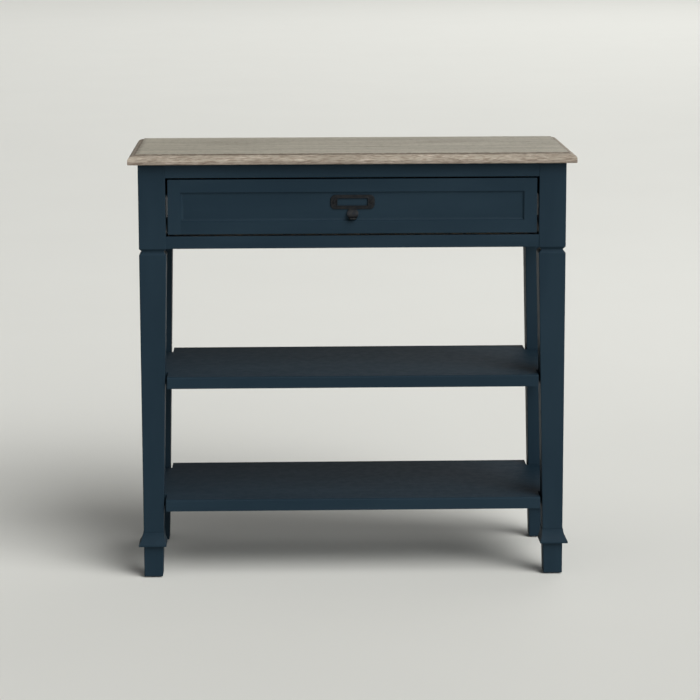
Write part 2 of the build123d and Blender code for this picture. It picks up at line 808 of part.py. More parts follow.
cleat_screws, cleat_screw_holes = [], []
slide_screws, slide_screw_holes = [], []
drawer_screws, drawer_screw_holes = [], []
for side in SIDES.values():
    outward, inward = (side, 0, 0), (-side, 0, 0)
    for spot in cleat_screw_spots(side):
        cleat_screw = (outward, cleat_depth + cleat_screw_bite, screw_radius, screw_head_radius)
        cleat_screws.append(wood_screw(spot, *cleat_screw))
        cleat_screw_holes.append(screw_hole(spot, *cleat_screw))
    for x, y, z in slide_screw_spots(side):
        sheet_screw = (outward, slide_screw_length, slide_screw_radius, slide_screw_radius + slide_sheet)
        slide_screws.append(wood_screw((x, y, z), *sheet_screw))
        slide_screw_holes.append(screw_hole((x, y, z), *sheet_screw))
    for spot in drawer_screw_spots(side):
        drawer_screws.append(pan_screw(spot, inward, drawer_screw_length, slide_screw_radius))
        hole_length = drawer_screw_length + hole_end_gap
        drawer_screw_holes.append(rod(spot, inward, hole_length, slide_screw_radius + hole_clearance))

# Top
parts["tabletop"] = drill(tabletop(), top_screw_holes)

# Legs, collars and glides
leg = leg_blank()
collar = collar_blank(leg)
legs = {(side, end): at_corner(leg, side, end) for side, end in CORNERS}
leg_holes = [*frame_pin_holes, *bolt_holes, *glide_holes, *slide_screw_holes]
shelf_pins = []
for top, name in ((upper_shelf_top, "upper"), (lower_shelf_top, "lower")):
    pins, pin_holes = zip(*[
        dowel(spot, way, dowel_half_length, dowel_half_length, dowel_radius)
        for spot, way in shelf_rail_spots(top)
    ])
    seats = shelf_screw_seats(top)
    screw_holes = [screw_hole(seat, *shelf_screw) for seat in seats]
    parts[f"{name}_shelf"] = drill(shelf(top), screw_holes)
    parts[f"{name}_shelf_screws"] = group(wood_screw(seat, *shelf_screw) for seat in seats)
    for side_name, side in SIDES.items():
        parts[f"{name}_{side_name}_shelf_rail"] = drill(shelf_rail(side, top), [*pin_holes, *screw_holes])
    shelf_pins.extend(pins)
    leg_holes.extend(pin_holes)
parts["shelf_rail_dowels"] = group(shelf_pins)

for side_name, side in SIDES.items():
    for end_name, end in ENDS.items():
        corner_name = f"{end_name}_{side_name}"
        parts[f"{corner_name}_leg"] = drill(legs[side, end], leg_holes)
        parts[f"{corner_name}_collar"] = at_corner(collar, side, end)
        block_holes = [*bolt_holes, *top_screw_holes]
        parts[f"{corner_name}_corner_block"] = drill(corner_block(side, end), block_holes)
parts["foot_glides"] = group(glides)
parts["corner_bolts"] = group(bolts)
parts["corner_bolt_washers"] = group(washers)
parts["corner_bolt_nuts"] = group(nuts)
parts["top_screws"] = group(top_screws)

# Rails and aprons
parts["front_top_rail"] = drill(long_rail(FRONT, top_rail_bottom, top_bottom), frame_pin_holes)
bottom_rail = long_rail(FRONT, apron_bottom, bottom_rail_top, bottom_rail_depth)
parts["front_bottom_rail"] = drill(bottom_rail, frame_pin_holes)
parts["back_apron"] = drill(long_rail(REAR, apron_bottom, top_bottom), frame_pin_holes)
parts["frame_dowels"] = group(frame_pins)
parts["cleat_screws"] = group(cleat_screws)
parts["slide_screws"] = group(slide_screws)
parts["drawer_slide_screws"] = group(drawer_screws)
for side_name, side in SIDES.items():
    parts[f"{side_name}_side_apron"] = drill(side_apron(side), [*frame_pin_holes, *cleat_screw_holes])
    parts[f"{side_name}_slide_cleat"] = drill(slide_cleat(side), [*cleat_screw_holes, *slide_screw_holes])
    slide = slide_members(side)
    parts[f"{side_name}_slide_outer"] = drill(slide["outer"], slide_screw_holes)
    parts[f"{side_name}_slide_middle"] = slide["middle"]
    parts[f"{side_name}_slide_balls"] = group(ball_rows(side))
    parts[f"{side_name}_slide_inner"] = drill(slide["inner"], drawer_screw_holes)

# Drawer front
panel_space = front_panel(panel_gap)
pull_holes = [
    rod(spot, backwards, pull_screw_length + hole_end_gap, pull_screw_radius + hole_clearance)
    for spot in pull_screw_spots()
]
stiles = {side_name: front_stile(side) for side_name, side in SIDES.items()}
lower_rail = front_rail(list(stiles.values()))
upper_rail = mirror(lower_rail, about=Plane.XY.offset((front_bottom + front_top) / 2))
members = {**stiles, "bottom": lower_rail, "top": upper_rail}
for name, member in members.items():
    kind = "stile" if name in SIDES else "rail"
    parts[f"drawer_front_{name}_{kind}"] = drill(member - panel_space, front_screw_holes)
parts["drawer_front_panel"] = drill(front_panel(), pull_holes)
parts["drawer_front_screws"] = group(front_screws)

# Drawer box
groove = drawer_bottom(drawer_bottom_gap)
for side_name, side in SIDES.items():
    side_board = drawer_side(side) - groove
    parts[f"drawer_{side_name}_side"] = drill(side_board, [*box_pin_holes, *drawer_screw_holes])
inner_front = drawer_end((front_back, inner_front_back)) - groove
parts["drawer_inner_front"] = drill(inner_front, [*box_pin_holes, *front_screw_holes])
parts["drawer_back"] = drill(drawer_end((box_back - drawer_board, box_back)) - groove, box_pin_holes)
parts["drawer_bottom"] = drawer_bottom()
parts["drawer_dowels"] = group(box_pins)

# Pull
parts["pull"] = drill(pull(), pull_holes)
parts["pull_screws"] = group(pull_screw(spot) for spot in pull_screw_spots())

os.makedirs("parts", exist_ok=True)
for name, solid in parts.items():
    export_step(solid, f"parts/{name}.step")
print(len(parts), "pieces written; drawer travel", round(drawer_travel, 1), "mm")
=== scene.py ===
# %% [markdown]
# # A kitchen island table, painted navy, with a grey-washed top
# The joinery comes from a CAD model: legs, rails, shelves, drawer and slides are already there, at
# their real sizes. What is left for Blender is what a finisher and a metal founder do. This lesson
# rebuilds the two pieces whose charm is in their softness, the moulded top and the cast pull, and
# then makes the paint, the washed wood, the bare woods and the metals.

# %% Load the table
import bmesh
import bpy
import json
import math
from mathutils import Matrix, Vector


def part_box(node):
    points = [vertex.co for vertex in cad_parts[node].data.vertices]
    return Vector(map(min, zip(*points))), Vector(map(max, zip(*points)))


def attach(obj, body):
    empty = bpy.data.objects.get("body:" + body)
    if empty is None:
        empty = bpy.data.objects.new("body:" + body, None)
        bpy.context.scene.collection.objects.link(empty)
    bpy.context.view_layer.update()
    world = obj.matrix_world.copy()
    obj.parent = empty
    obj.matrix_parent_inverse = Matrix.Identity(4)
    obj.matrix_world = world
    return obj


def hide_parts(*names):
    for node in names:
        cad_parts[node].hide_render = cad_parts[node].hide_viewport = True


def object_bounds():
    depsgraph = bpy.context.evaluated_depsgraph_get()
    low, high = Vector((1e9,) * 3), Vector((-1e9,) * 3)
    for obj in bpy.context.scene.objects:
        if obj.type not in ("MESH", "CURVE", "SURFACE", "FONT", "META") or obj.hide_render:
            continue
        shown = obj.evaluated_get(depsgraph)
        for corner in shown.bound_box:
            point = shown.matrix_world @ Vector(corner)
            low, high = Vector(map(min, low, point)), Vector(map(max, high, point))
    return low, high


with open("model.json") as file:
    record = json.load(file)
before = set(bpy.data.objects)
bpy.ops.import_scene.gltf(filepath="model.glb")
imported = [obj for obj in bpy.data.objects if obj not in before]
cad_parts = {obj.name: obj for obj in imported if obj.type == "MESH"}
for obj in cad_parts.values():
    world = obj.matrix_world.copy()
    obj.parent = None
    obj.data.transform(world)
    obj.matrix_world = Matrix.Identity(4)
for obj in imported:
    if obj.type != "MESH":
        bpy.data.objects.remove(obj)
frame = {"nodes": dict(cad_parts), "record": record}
cad_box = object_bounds()
MM = 0.001
table_size = [round(v, 3) for v in cad_box[1] - cad_box[0]]
print(len(frame["nodes"]), "pieces of joinery; the table is", table_size, "m")

# %% [markdown]
# ## Working by hand, in code
# Blender's modelling tools act on whatever is selected, just as they do under the mouse. So every
# step below starts from an empty selection, and then picks faces, edges or vertices by where they
# are. These small helpers do that.

# %% Helpers: start and pick
PARALLEL_SHARE = 0.99    # how much of an edge's length lies along an axis that it is parallel to


def put_down():
    """Leaves edit mode and selects nothing."""
    if bpy.context.object and bpy.context.object.mode == "EDIT":
        bpy.ops.object.mode_set(mode="OBJECT")
    bpy.ops.object.select_all(action="DESELECT")


def pick_up(piece):
    """Makes one piece active and selects it alone."""
    put_down()
    bpy.context.view_layer.objects.active = piece
    piece.select_set(True)


def open_up(piece):
    """Opens a piece in edit mode with nothing selected."""
    pick_up(piece)
    bpy.ops.object.mode_set(mode="EDIT")
    bpy.ops.mesh.select_all(action="DESELECT")


def choose(piece, kind, test):
    """Selects the vertices, edges or faces whose middle passes a test, and returns how many."""
    bpy.ops.mesh.select_all(action="DESELECT")
    bpy.ops.mesh.select_mode(type=kind)
    mesh = bmesh.from_edit_mesh(piece.data)
    chosen = 0
    for part in {"VERT": mesh.verts, "EDGE": mesh.edges, "FACE": mesh.faces}[kind]:
        corners = [part.co] if kind == "VERT" else [v.co for v in part.verts]
        middle = sum(corners, Vector()) / len(corners)
        if test(middle, part):
            part.select_set(True)
            chosen += 1
    mesh.select_flush_mode()
    bmesh.update_edit_mesh(piece.data)
    return chosen


def runs_along(axis):
    """A test for edges that are parallel to one axis."""
    def test(_, edge):
        step = edge.verts[1].co - edge.verts[0].co
        return abs(step[axis]) > PARALLEL_SHARE * step.length
    return test


put_down()
print("nothing is selected:", len(bpy.context.selected_objects), "objects")

# %% [markdown]
# A modifier is set and then applied at once. A finished piece should behave exactly like the CAD
# pieces beside it. So its place is settled into its mesh, which leaves the object itself at the
# origin, and it is hung on the body that it moves with.

# %% Helpers: modify and finish a piece
SMOOTH_BELOW = math.radians(35)


def modify(piece, kind, **settings):
    """Adds a modifier to a piece, sets it and applies it."""
    pick_up(piece)
    bpy.ops.object.modifier_add(type=kind)
    change = piece.modifiers[-1]
    for name, value in settings.items():
        setattr(change, name, value)
    bpy.ops.object.modifier_apply(modifier=change.name)


def measure(piece):
    """The size of a piece in millimetres."""
    low, high = Vector(piece.bound_box[0]), Vector(piece.bound_box[6])
    return [round(v / MM, 1) for v in high - low]


def finish_piece(piece, name, body, slot, *stands_for):
    """Settles a piece's place into its mesh, smooths it, and hangs it on its body."""
    pick_up(piece)
    bpy.ops.object.transform_apply(location=True, rotation=True, scale=True)
    bpy.ops.object.shade_smooth_by_angle(angle=SMOOTH_BELOW)
    piece.name = name
    piece.data.name = name
    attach(piece, body)
    if stands_for:
        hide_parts(*stands_for)
    print(name, "is", measure(piece), "mm, with", len(piece.data.polygons), "faces")
    return piece


print("corners under", round(math.degrees(SMOOTH_BELOW)), "degrees will be shaded smooth")

# %% [markdown]
# ## The top
# The top is one wide board. A router runs an ovolo round it: a small step down from the flat, and
# then a quarter-ellipse that rolls over to the edge. The washed finish is brushed and rubbed by
# hand, so the step is never dead straight. One way would be to sweep a profile along a curve. Here
# a plain block is grown upwards instead, ring by ring, each ring extruded and drawn in a little,
# because that keeps the four mitred corners in one skin and lets the edge be worn afterwards.

# %% Grow the moulding
edge_inset = 16 * MM    # how far the ovolo reaches in from the edge
edge_step = 2 * MM      # the small step between the ovolo and the flat
edge_round = 11 * MM    # the height of the ovolo
MOULDING_STEPS = 9
FACING_UP = 0.9         # the least upward part of an upward face's normal


def grow_ring(rise, from_half, to_half, middle):
    """Extrudes the selected face upwards and draws it in to a new half size."""
    bpy.ops.mesh.extrude_region_move(TRANSFORM_OT_translate={"value": (0, 0, rise)})
    shrink = (to_half[0] / from_half[0], to_half[1] / from_half[1], 1)
    bpy.ops.transform.resize(value=shrink, center_override=middle)


def moulded_block():
    """A block as large as the top's lower band, with the ovolo and the step grown on it."""
    low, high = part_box("tabletop")
    middle = (low + high) / 2
    belly = high.z - edge_step - edge_round
    size = (high.x - low.x, high.y - low.y, belly - low.z)
    place_at = (middle.x, middle.y, (belly + low.z) / 2)
    put_down()
    bpy.ops.mesh.primitive_cube_add(size=1, location=place_at, scale=size)
    piece = bpy.context.object
    bpy.ops.object.transform_apply(location=True, rotation=True, scale=True)
    open_up(piece)
    choose(piece, "FACE", lambda m, f: f.normal.z > FACING_UP)
    half = (size[0] / 2, size[1] / 2)
    height = belly
    for step in range(1, MOULDING_STEPS + 1):
        turn = math.radians(90 * step / MOULDING_STEPS)
        inset = edge_inset * (1 - math.cos(turn))
        new_half = (size[0] / 2 - inset, size[1] / 2 - inset)
        new_height = belly + edge_round * math.sin(turn)
        grow_ring(new_height - height, half, new_half, middle)
        half, height = new_half, new_height
    grow_ring(edge_step, half, half, middle)
    return piece


worktop = moulded_block()
put_down()
print("the block has", len(worktop.data.polygons), "faces")

# %% [markdown]
# Sharp corners don't survive sanding. The lower arris and the crest of the step each get a small
# bevel. Then the long faces are cut across many times, which is what gives the next step something
# to wear.

# %% Ease the corners and cut the long faces
crest_round, CREST_SEGMENTS = 0.5 * MM, 2
arris_round, ARRIS_SEGMENTS = 2.4 * MM, 5
LENGTH_CUTS, DEPTH_CUTS = 180, 76
same_height = 0.1 * MM
top_low, top_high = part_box("tabletop")


def ease(piece, height, width, segments):
    """Bevels the edges that lie at a height."""
    choose(piece, "EDGE", lambda m, e: abs(m.z - height) < same_height)
    bpy.ops.mesh.bevel(offset=width, offset_type="OFFSET", segments=segments, affect="EDGES")


open_up(worktop)
ease(worktop, top_high.z, crest_round, CREST_SEGMENTS)
ease(worktop, top_low.z, arris_round, ARRIS_SEGMENTS)
for axis, cuts in ((0, LENGTH_CUTS), (1, DEPTH_CUTS)):
    choose(worktop, "EDGE", runs_along(axis))
    bpy.ops.mesh.subdivide(number_cuts=cuts)
put_down()
print("the cut block has", len(worktop.data.polygons), "faces")

# %% [markdown]
# ## Wear on the moulding
# Brushing leaves the edge gently uneven: a third of a millimetre here, a little less there. A
# Displace modifier moves each point along its normal by the value of a cloud texture. It is kept
# to the moulding with a vertex group, so the flat of the top stays flat and the underside still
# sits on the legs. Wear only takes wood away, so the middle level is set high: almost every value
# of the clouds then moves the surface inwards.

# %% Brush the edge
WEAR_LEVEL = 0.85
long_wear, long_depth = 35 * MM, 0.7 * MM
short_wear, short_depth = 9 * MM, 0.45 * MM
flat_margin = 1 * MM    # how far inside the step the flat starts
band_height = 4 * MM    # the lower part of the edge, which isn't brushed


def wear(piece, size, strength, name):
    """Moves the moulding in and out by a cloud texture."""
    cloud = bpy.data.textures.new(name, type="CLOUDS")
    cloud.noise_scale = size
    modify(
        piece,
        "DISPLACE",
        texture=cloud,
        texture_coords="LOCAL",
        strength=strength,
        mid_level=WEAR_LEVEL,
        vertex_group="moulding",
    )


def brushed_zone(middle, vertex):
    """The ovolo and the step, but not the flat, the lower band or the underside."""
    inside_x = top_high.x - edge_inset - flat_margin
    inside_y = top_high.y - edge_inset - flat_margin
    on_flat = abs(middle.x) < inside_x and abs(middle.y) < inside_y
    return middle.z > top_low.z + band_height and not on_flat


open_up(worktop)
brushed = choose(worktop, "VERT", brushed_zone)
bpy.ops.object.vertex_group_add()
worktop.vertex_groups.active.name = "moulding"
bpy.ops.object.vertex_group_assign()
wear(worktop, long_wear, long_depth, "long wear")
wear(worktop, short_wear, short_depth, "short wear")
finish_piece(worktop, "worktop", "frame", "grey_wood", "tabletop")
print(brushed, "points of the moulding were brushed")

# %% [markdown]
# ## The pull
# The pull is cast: a card frame with a raised lip round its window and a tab for the fingers. It is
# grown like the top, ring by ring, but from the inside of the window outwards. First come its sizes
# and its section: up the window's wall, over the lip, across the plate, over the rim and back along
# the rear face. Rings sit close together beside each corner, so that it stays small when the piece
# is rounded over.

# %% The section of the card frame
pull_low, pull_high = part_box("pull")
plate_width, plate_height, plate_thick, plate_radius = 93 * MM, 30 * MM, 2.4 * MM, 10 * MM
window_width, window_height, window_radius = 64 * MM, 15.5 * MM, 1.5 * MM
lip_wide, lip_rise = 2 * MM, 0.8 * MM
lip_round, lip_shoulder = 0.4 * MM, 0.12 * MM
foot_round, foot_shoulder = 0.2 * MM, 0.05 * MM
rim_insets, rim_drops = (0.8 * MM, 0.5 * MM, 0.18 * MM), (0.0, 0.08 * MM, 0.3 * MM)
rim_round, back_ease = 0.7 * MM, 0.15 * MM
pull_back = pull_high.y
pull_centre = Vector((0, pull_back, pull_high.z - plate_height / 2))


def inner(by):
    """The window's outline, grown by a distance: half width, half height and radius."""
    return (window_width / 2 + by, window_height / 2 + by, window_radius + by)


def outer(by):
    """The plate's outline, drawn in by a distance."""
    return (plate_width / 2 - by, plate_height / 2 - by, plate_radius - by)


def frame_rings():
    """Each ring of the section: its outline, and its height above the back."""
    crest = plate_thick + lip_rise
    window_wall = [(inner(0), back_ease), (inner(0), crest - lip_round)]
    lip = [
        (inner(lip_shoulder), crest - lip_shoulder),
        (inner(lip_round), crest),
        (inner(lip_wide - lip_round), crest),
        (inner(lip_wide - lip_shoulder), crest - lip_shoulder),
        (inner(lip_wide), crest - lip_round),
        (inner(lip_wide + foot_shoulder), plate_thick + lip_shoulder),
        (inner(lip_wide + foot_round), plate_thick),
    ]
    rim = [(outer(inset), plate_thick - drop) for inset, drop in zip(rim_insets, rim_drops)]
    rim_wall = [(outer(0), plate_thick - rim_round), (outer(0), back_ease), (outer(0), 0.0)]
    rear_face = [(outer(back_ease), 0.0), (inner(back_ease), 0.0)]
    return window_wall + lip + rim + rim_wall + rear_face


print("the section has", len(frame_rings()), "rings")

# %% [markdown]
# Scaling a whole ring would stretch its rounded corners. So each corner is handled alone: it is
# scaled about its own centre to its new radius, and then slid to its new place. The first ring is a
# plane with its corners bevelled and its face taken out.

# %% Grow the card frame
CORNER_SEGMENTS = 10


def corner_centre(ring, side, up):
    """The middle of one rounded corner of a ring."""
    return pull_centre + Vector((side * (ring[0] - ring[2]), 0, up * (ring[1] - ring[2])))


def grow_frame(piece, old, new, forward):
    """Extrudes the selected loop forward and fits it to a new rounded rectangle."""
    bpy.ops.mesh.extrude_edges_move(TRANSFORM_OT_translate={"value": (0, -forward, 0)})
    mesh = bmesh.from_edit_mesh(piece.data)
    mesh.verts.index_update()
    loop = {v.index for v in mesh.verts if v.select}
    size = new[2] / old[2]
    for side in (-1, 1):
        for up in (-1, 1):
            def in_corner(middle, vertex):
                above = up * (middle.z - pull_centre.z) > 0
                return vertex.index in loop and side * middle.x > 0 and above
            choose(piece, "VERT", in_corner)
            start, end = corner_centre(old, side, up), corner_centre(new, side, up)
            bpy.ops.transform.resize(value=(size, 1, size), center_override=start)
            bpy.ops.transform.translate(value=end - start)
    choose(piece, "VERT", lambda m, v: v.index in loop)
    bpy.ops.mesh.select_mode(type="EDGE")


def window_loop():
    """The window's outline as a loop of edges, all selected."""
    upright = (math.radians(90), 0, 0)
    put_down()
    bpy.ops.mesh.primitive_plane_add(size=1, location=pull_centre, rotation=upright)
    piece = bpy.context.object
    piece.scale = (window_width, window_height, 1)
    bpy.ops.object.transform_apply(location=True, rotation=True, scale=True)
    open_up(piece)
    bpy.ops.mesh.select_all(action="SELECT")
    bpy.ops.mesh.bevel(offset=window_radius, segments=CORNER_SEGMENTS, affect="VERTICES")
    bpy.ops.mesh.select_all(action="SELECT")
    bpy.ops.mesh.delete(type="ONLY_FACE")
    bpy.ops.mesh.select_mode(type="EDGE")
    bpy.ops.mesh.select_all(action="SELECT")
    return piece


def card_frame():
    """The window's outline, grown through every ring and closed across the back."""
    piece = window_loop()
    ring, depth = inner(0), 0.0
    for new_ring, new_depth in frame_rings():
        grow_frame(piece, ring, new_ring, new_depth - depth)
        ring, depth = new_ring, new_depth
    choose(piece, "EDGE", lambda m, e: e.is_boundary)
    bpy.ops.mesh.bridge_edge_loops()
    bpy.ops.mesh.select_all(action="SELECT")
    bpy.ops.mesh.normals_make_consistent(inside=False)
    return piece


pull = card_frame()
put_down()
print("the card frame has", len(pull.data.polygons), "faces")

# %% [markdown]
# The tab hangs from the frame's lower wall and curls forwards to a rounded bead. It is worked the
# way a strap is: first a straight blank, as wide at each point as the lobe will be there once it is
# bent, and then the bends. So the blank's widths are read off the finished curve.

# %% Set out the blank of the tab
BEND_STEPS = 14
root_half, bend_radius, bend_angle = 8.5 * MM, 24 * MM, math.radians(60)
lobe_half, lobe_drop = 12 * MM, 11.5 * MM
neck_share, neck_length = 0.12, 2 * MM
bead_radius, swell_length = 2.1 * MM, 1.2 * MM
bead_steps = [past * MM for past in (0.5, 1.0, 1.4, 1.7, 1.93, 2.07)]
tab_bottom = pull_low.z
root_z = pull_high.z - plate_height
bend_top = root_z + 1.5 * MM
angle_at_root = math.asin((bend_top - root_z) / bend_radius)
bend_step = (bend_angle - angle_at_root) / BEND_STEPS


def lobe_width(z):
    """Half the tab's width at a height, once it is bent: an ellipse with a neck above it."""
    drop = (z - tab_bottom - lobe_drop) / lobe_drop
    lobe = lobe_half * math.sqrt(max(0.0, 1 - drop * drop))
    neck = root_half * (1 - neck_share * min(1.0, (root_z - z) / neck_length))
    return max(lobe, neck) if z > tab_bottom + lobe_drop else lobe


def bead_half(past):
    """Half the bead's thickness, at a distance from its middle."""
    return math.sqrt(bead_radius ** 2 - past ** 2)


def tab_blank():
    """Each length of the blank: how far along it ends, its half width and its half thickness."""
    lengths = []
    for number in range(1, BEND_STEPS + 1):
        turn = angle_at_root + number * bend_step
        width = lobe_width(bend_top - bend_radius * math.sin(turn))
        lengths.append((bend_radius * number * bend_step, width, plate_thick / 2))
    lip = bend_radius * BEND_STEPS * bend_step
    lip_z = bend_top - bend_radius * math.sin(bend_angle)
    lengths[-2] = (lip - swell_length, lengths[-2][1], bead_half(swell_length))
    lengths[-1] = (lip, lengths[-1][1], bead_half(0.0))
    for past in bead_steps:
        width = lobe_width(lip_z - past * math.cos(bend_angle))
        lengths.append((lip + past, width, bead_half(past)))
    return lengths


print("the blank is", round(tab_blank()[-1][0] / MM, 1), "mm long, in", len(tab_blank()), "lengths")

# %% [markdown]
# Cuts across the lower wall mark the root, and a cut each side of them keeps the rounding there
# small. The wall between the cuts is then drawn down, one short length after another.

# %% Draw the tab down
root_cuts = (-0.9 * MM, 0.0, 1.2 * MM)
wall_reach = 0.75 * MM    # how far above the root a face of the lower wall may sit
back_margin = 0.1 * MM    # how far forward of the rear face it has to be


def in_root(middle, face):
    """The faces of the lower wall between the cuts."""
    low_down = middle.z < root_z + wall_reach
    return low_down and abs(middle.x) < root_half and middle.y < pull_back - back_margin


def draw_tab(piece):
    """Extrudes the blank from the lower wall, one length after another."""
    open_up(piece)
    for cut in root_cuts:
        for x in (-(root_half + cut), root_half + cut):
            bpy.ops.mesh.select_all(action="SELECT")
            bpy.ops.mesh.bisect(plane_co=(x, 0, 0), plane_no=(1, 0, 0))
    choose(piece, "FACE", in_root)
    middle = Vector((0, pull_back - plate_thick / 2, root_z))
    along, half, thick = 0.0, root_half, plate_thick / 2
    for new_along, new_half, new_thick in tab_blank():
        down = new_along - along
        bpy.ops.mesh.extrude_region_move(TRANSFORM_OT_translate={"value": (0, 0, -down)})
        middle.z -= down
        level = 0 if along == 0 else 1    # the first length ends level, whatever the wall's shape
        size = (new_half / half, new_thick / thick, level)
        bpy.ops.transform.resize(value=size, center_override=middle)
        along, half, thick = new_along, new_half, new_thick


draw_tab(pull)
put_down()
print("with its straight tab the pull is", measure(pull), "mm")

# %% [markdown]
# Now the blank is bent, a few degrees at a time and from the tip towards the root. Each turn takes
# along everything below its bend line.

# %% Bend the tab forwards
just_below = 0.02 * MM


def bend_tab(piece):
    """Turns everything below each bend line a little further forward, starting at the tip."""
    open_up(piece)
    lengths = [0.0] + [along for along, _, _ in tab_blank()[:BEND_STEPS]]
    turns = [bend_step / 2 + angle_at_root] + [bend_step] * (BEND_STEPS - 1) + [bend_step / 2]
    for number in range(BEND_STEPS, -1, -1):
        line = root_z - lengths[number]
        choose(piece, "VERT", lambda m, v: m.z < line - just_below)
        centre = (0, pull_back - plate_thick / 2, line)
        bpy.ops.transform.rotate(value=turns[number], orient_axis="X", center_override=centre)


bend_tab(pull)
put_down()
print("bent, it is", measure(pull), "mm, with", len(pull.data.polygons), "faces")

# %% [markdown]
# A casting has no sharp corners, so a Subdivision Surface modifier rounds it over. The close rings
# that were grown beside each corner now pay off: they hold the flats flat and keep the rounding
# small.

# %% Round it over
ROUNDING_LEVELS = 2
modify(pull, "SUBSURF", levels=ROUNDING_LEVELS)
print("rounded over, it is", measure(pull), "mm, with", len(pull.data.polygons), "faces")

# %% [markdown]
# Last, as on the bench, the back is milled out for the card and the ears are drilled. One cutter
# does both: a block for the slot, open at the top so that the card slides in, and a rod per screw.

# %% Mill the card slot and drill the ears
slot_margin, slot_depth = 3 * MM, 0.9 * MM
cutter_reach = 2 * MM    # how far the cutter stands out past the back and the top
ear_x, ear_hole, drill_length = 39 * MM, 1.6 * MM, 9 * MM


def cutter_for_back():
    """A block for the card slot and two rods for the screw holes, joined as one cutter."""
    low_z = pull_centre.z - window_height / 2 - slot_margin
    high_z = pull_high.z + cutter_reach
    slot_wide = 2 * (window_width / 2 + slot_margin)
    slot_centre = (0, pull_back + (cutter_reach - slot_depth) / 2, (low_z + high_z) / 2)
    slot_size = (slot_wide, cutter_reach + slot_depth, high_z - low_z)
    put_down()
    bpy.ops.mesh.primitive_cube_add(size=1, location=slot_centre, scale=slot_size)
    cutter = bpy.context.object
    drills = []
    for x in (-ear_x, ear_x):
        bpy.ops.mesh.primitive_cylinder_add(
            radius=ear_hole,
            depth=drill_length,
            location=(x, pull_back, pull_centre.z),
            rotation=(math.radians(90), 0, 0),
        )
        drills.append(bpy.context.object)
    pick_up(cutter)
    for drill in drills:
        drill.select_set(True)
    bpy.ops.object.join()
    return cutter


cutter = cutter_for_back()
modify(pull, "BOOLEAN", object=cutter, operation="DIFFERENCE")
bpy.data.objects.remove(cutter)
finish_piece(pull, "card_pull", "drawer", "dark_bronze", "pull")

# %% [markdown]
# ## Materials start with a few helpers
# A finish is a small network of nodes. Building one in Python is wordy, so `place` adds a node,
# sets what it is told, and plugs in whatever feeds it. The others are the few steps that every
# finish takes: a sum, a range, a noise drawn out along the grain, and a mix of two colours.

# %% Helpers: nodes
MIX_SHARE, MIX_FIRST, MIX_SECOND, MIX_RESULT = 0, 6, 7, 2    # a Mix node's sockets for colours


def place(tree, kind, inputs=None, **settings):
    """Adds a node. Inputs are values, or the sockets that feed it; settings are its own."""
    made = tree.nodes.new(kind)
    for name, value in settings.items():
        setattr(made, name, value)
    for name, value in (inputs or {}).items():
        if isinstance(value, bpy.types.NodeSocket):
            tree.links.new(value, made.inputs[name])
        else:
            made.inputs[name].default_value = value
    return made


def maths(tree, operation, first, second):
    """One sum on two values."""
    return place(tree, "ShaderNodeMath", {0: first, 1: second}, operation=operation).outputs[0]


def times(tree, first, second):
    """The product of two values."""
    return maths(tree, "MULTIPLY", first, second)


def remap(tree, value, low, high, to_low=0.0, to_high=1.0):
    """Stretches a value from one range to another, smoothly, and holds it at the ends."""
    inputs = {"Value": value, "From Min": low, "From Max": high, "To Min": to_low, "To Max": to_high}
    return place(tree, "ShaderNodeMapRange", inputs, interpolation_type="SMOOTHSTEP").outputs[0]


def vector_maths(tree, operation, inputs):
    """One sum on vectors."""
    return place(tree, "ShaderNodeVectorMath", inputs, operation=operation)


def noise(tree, vector, scale, detail, roughness=0.55):
    """Soft random values, from 0 to 1."""
    inputs = {"Vector": vector, "Scale": scale, "Detail": detail, "Roughness": roughness}
    return place(tree, "ShaderNodeTexNoise", inputs).outputs["Fac"]


def drawn_noise(tree, vector, packing, detail, roughness=0.55):
    """Noise with its own packing along each axis, in repeats per metre."""
    stretched = vector_maths(tree, "MULTIPLY", {0: vector, 1: packing}).outputs[0]
    return noise(tree, stretched, 1.0, detail, roughness)


def blend_colours(tree, share, first, second, mode="MIX"):
    """Mixes two colours by a share."""
    inputs = {MIX_SHARE: share, MIX_FIRST: first, MIX_SECOND: second}
    made = place(tree, "ShaderNodeMix", inputs, data_type="RGBA", blend_type=mode)
    return made.outputs[MIX_RESULT]


def layer(tree, colour, mask, share, over):
    """Lays one colour over another where a mask says, at a share of its strength."""
    return blend_colours(tree, times(tree, mask, share), colour, over)


print("node helpers are ready")

# %% [markdown]
# An effect that several finishes share, such as wood figure or rubbed edges, becomes a node group:
# it is wired once and then used like a single node with its own knobs. Colours are written as they
# look on a screen, and turned into the linear values that shaders work with.

# %% Helpers: groups and colours
SCREEN_OFFSET, SCREEN_POWER = 0.055, 2.4


def new_group(name, inputs, outputs):
    """An empty node group with typed inputs, and its two ends. It puts out plain values."""
    tree = bpy.data.node_groups.new(name, "ShaderNodeTree")
    for socket, (kind, default) in inputs.items():
        made = tree.interface.new_socket(socket, in_out="INPUT", socket_type="NodeSocket" + kind)
        if default is not None:
            made.default_value = default
    for socket in outputs:
        tree.interface.new_socket(socket, in_out="OUTPUT", socket_type="NodeSocketFloat")
    return tree, tree.nodes.new("NodeGroupInput"), tree.nodes.new("NodeGroupOutput")


def use_group(tree, group, inputs):
    """Places a node group in a material."""
    return place(tree, "ShaderNodeGroup", inputs, node_tree=group)


def linear(level):
    """One channel of a colour, 0 to 255 on a screen and not below 11, as a linear value."""
    return ((level / 255 + SCREEN_OFFSET) / (1 + SCREEN_OFFSET)) ** SCREEN_POWER


def rgb(red, green, blue):
    """A colour given as it looks on a screen."""
    return (linear(red), linear(green), linear(blue), 1.0)


print("middle grey on a screen is", round(linear(128), 3), "in linear light")

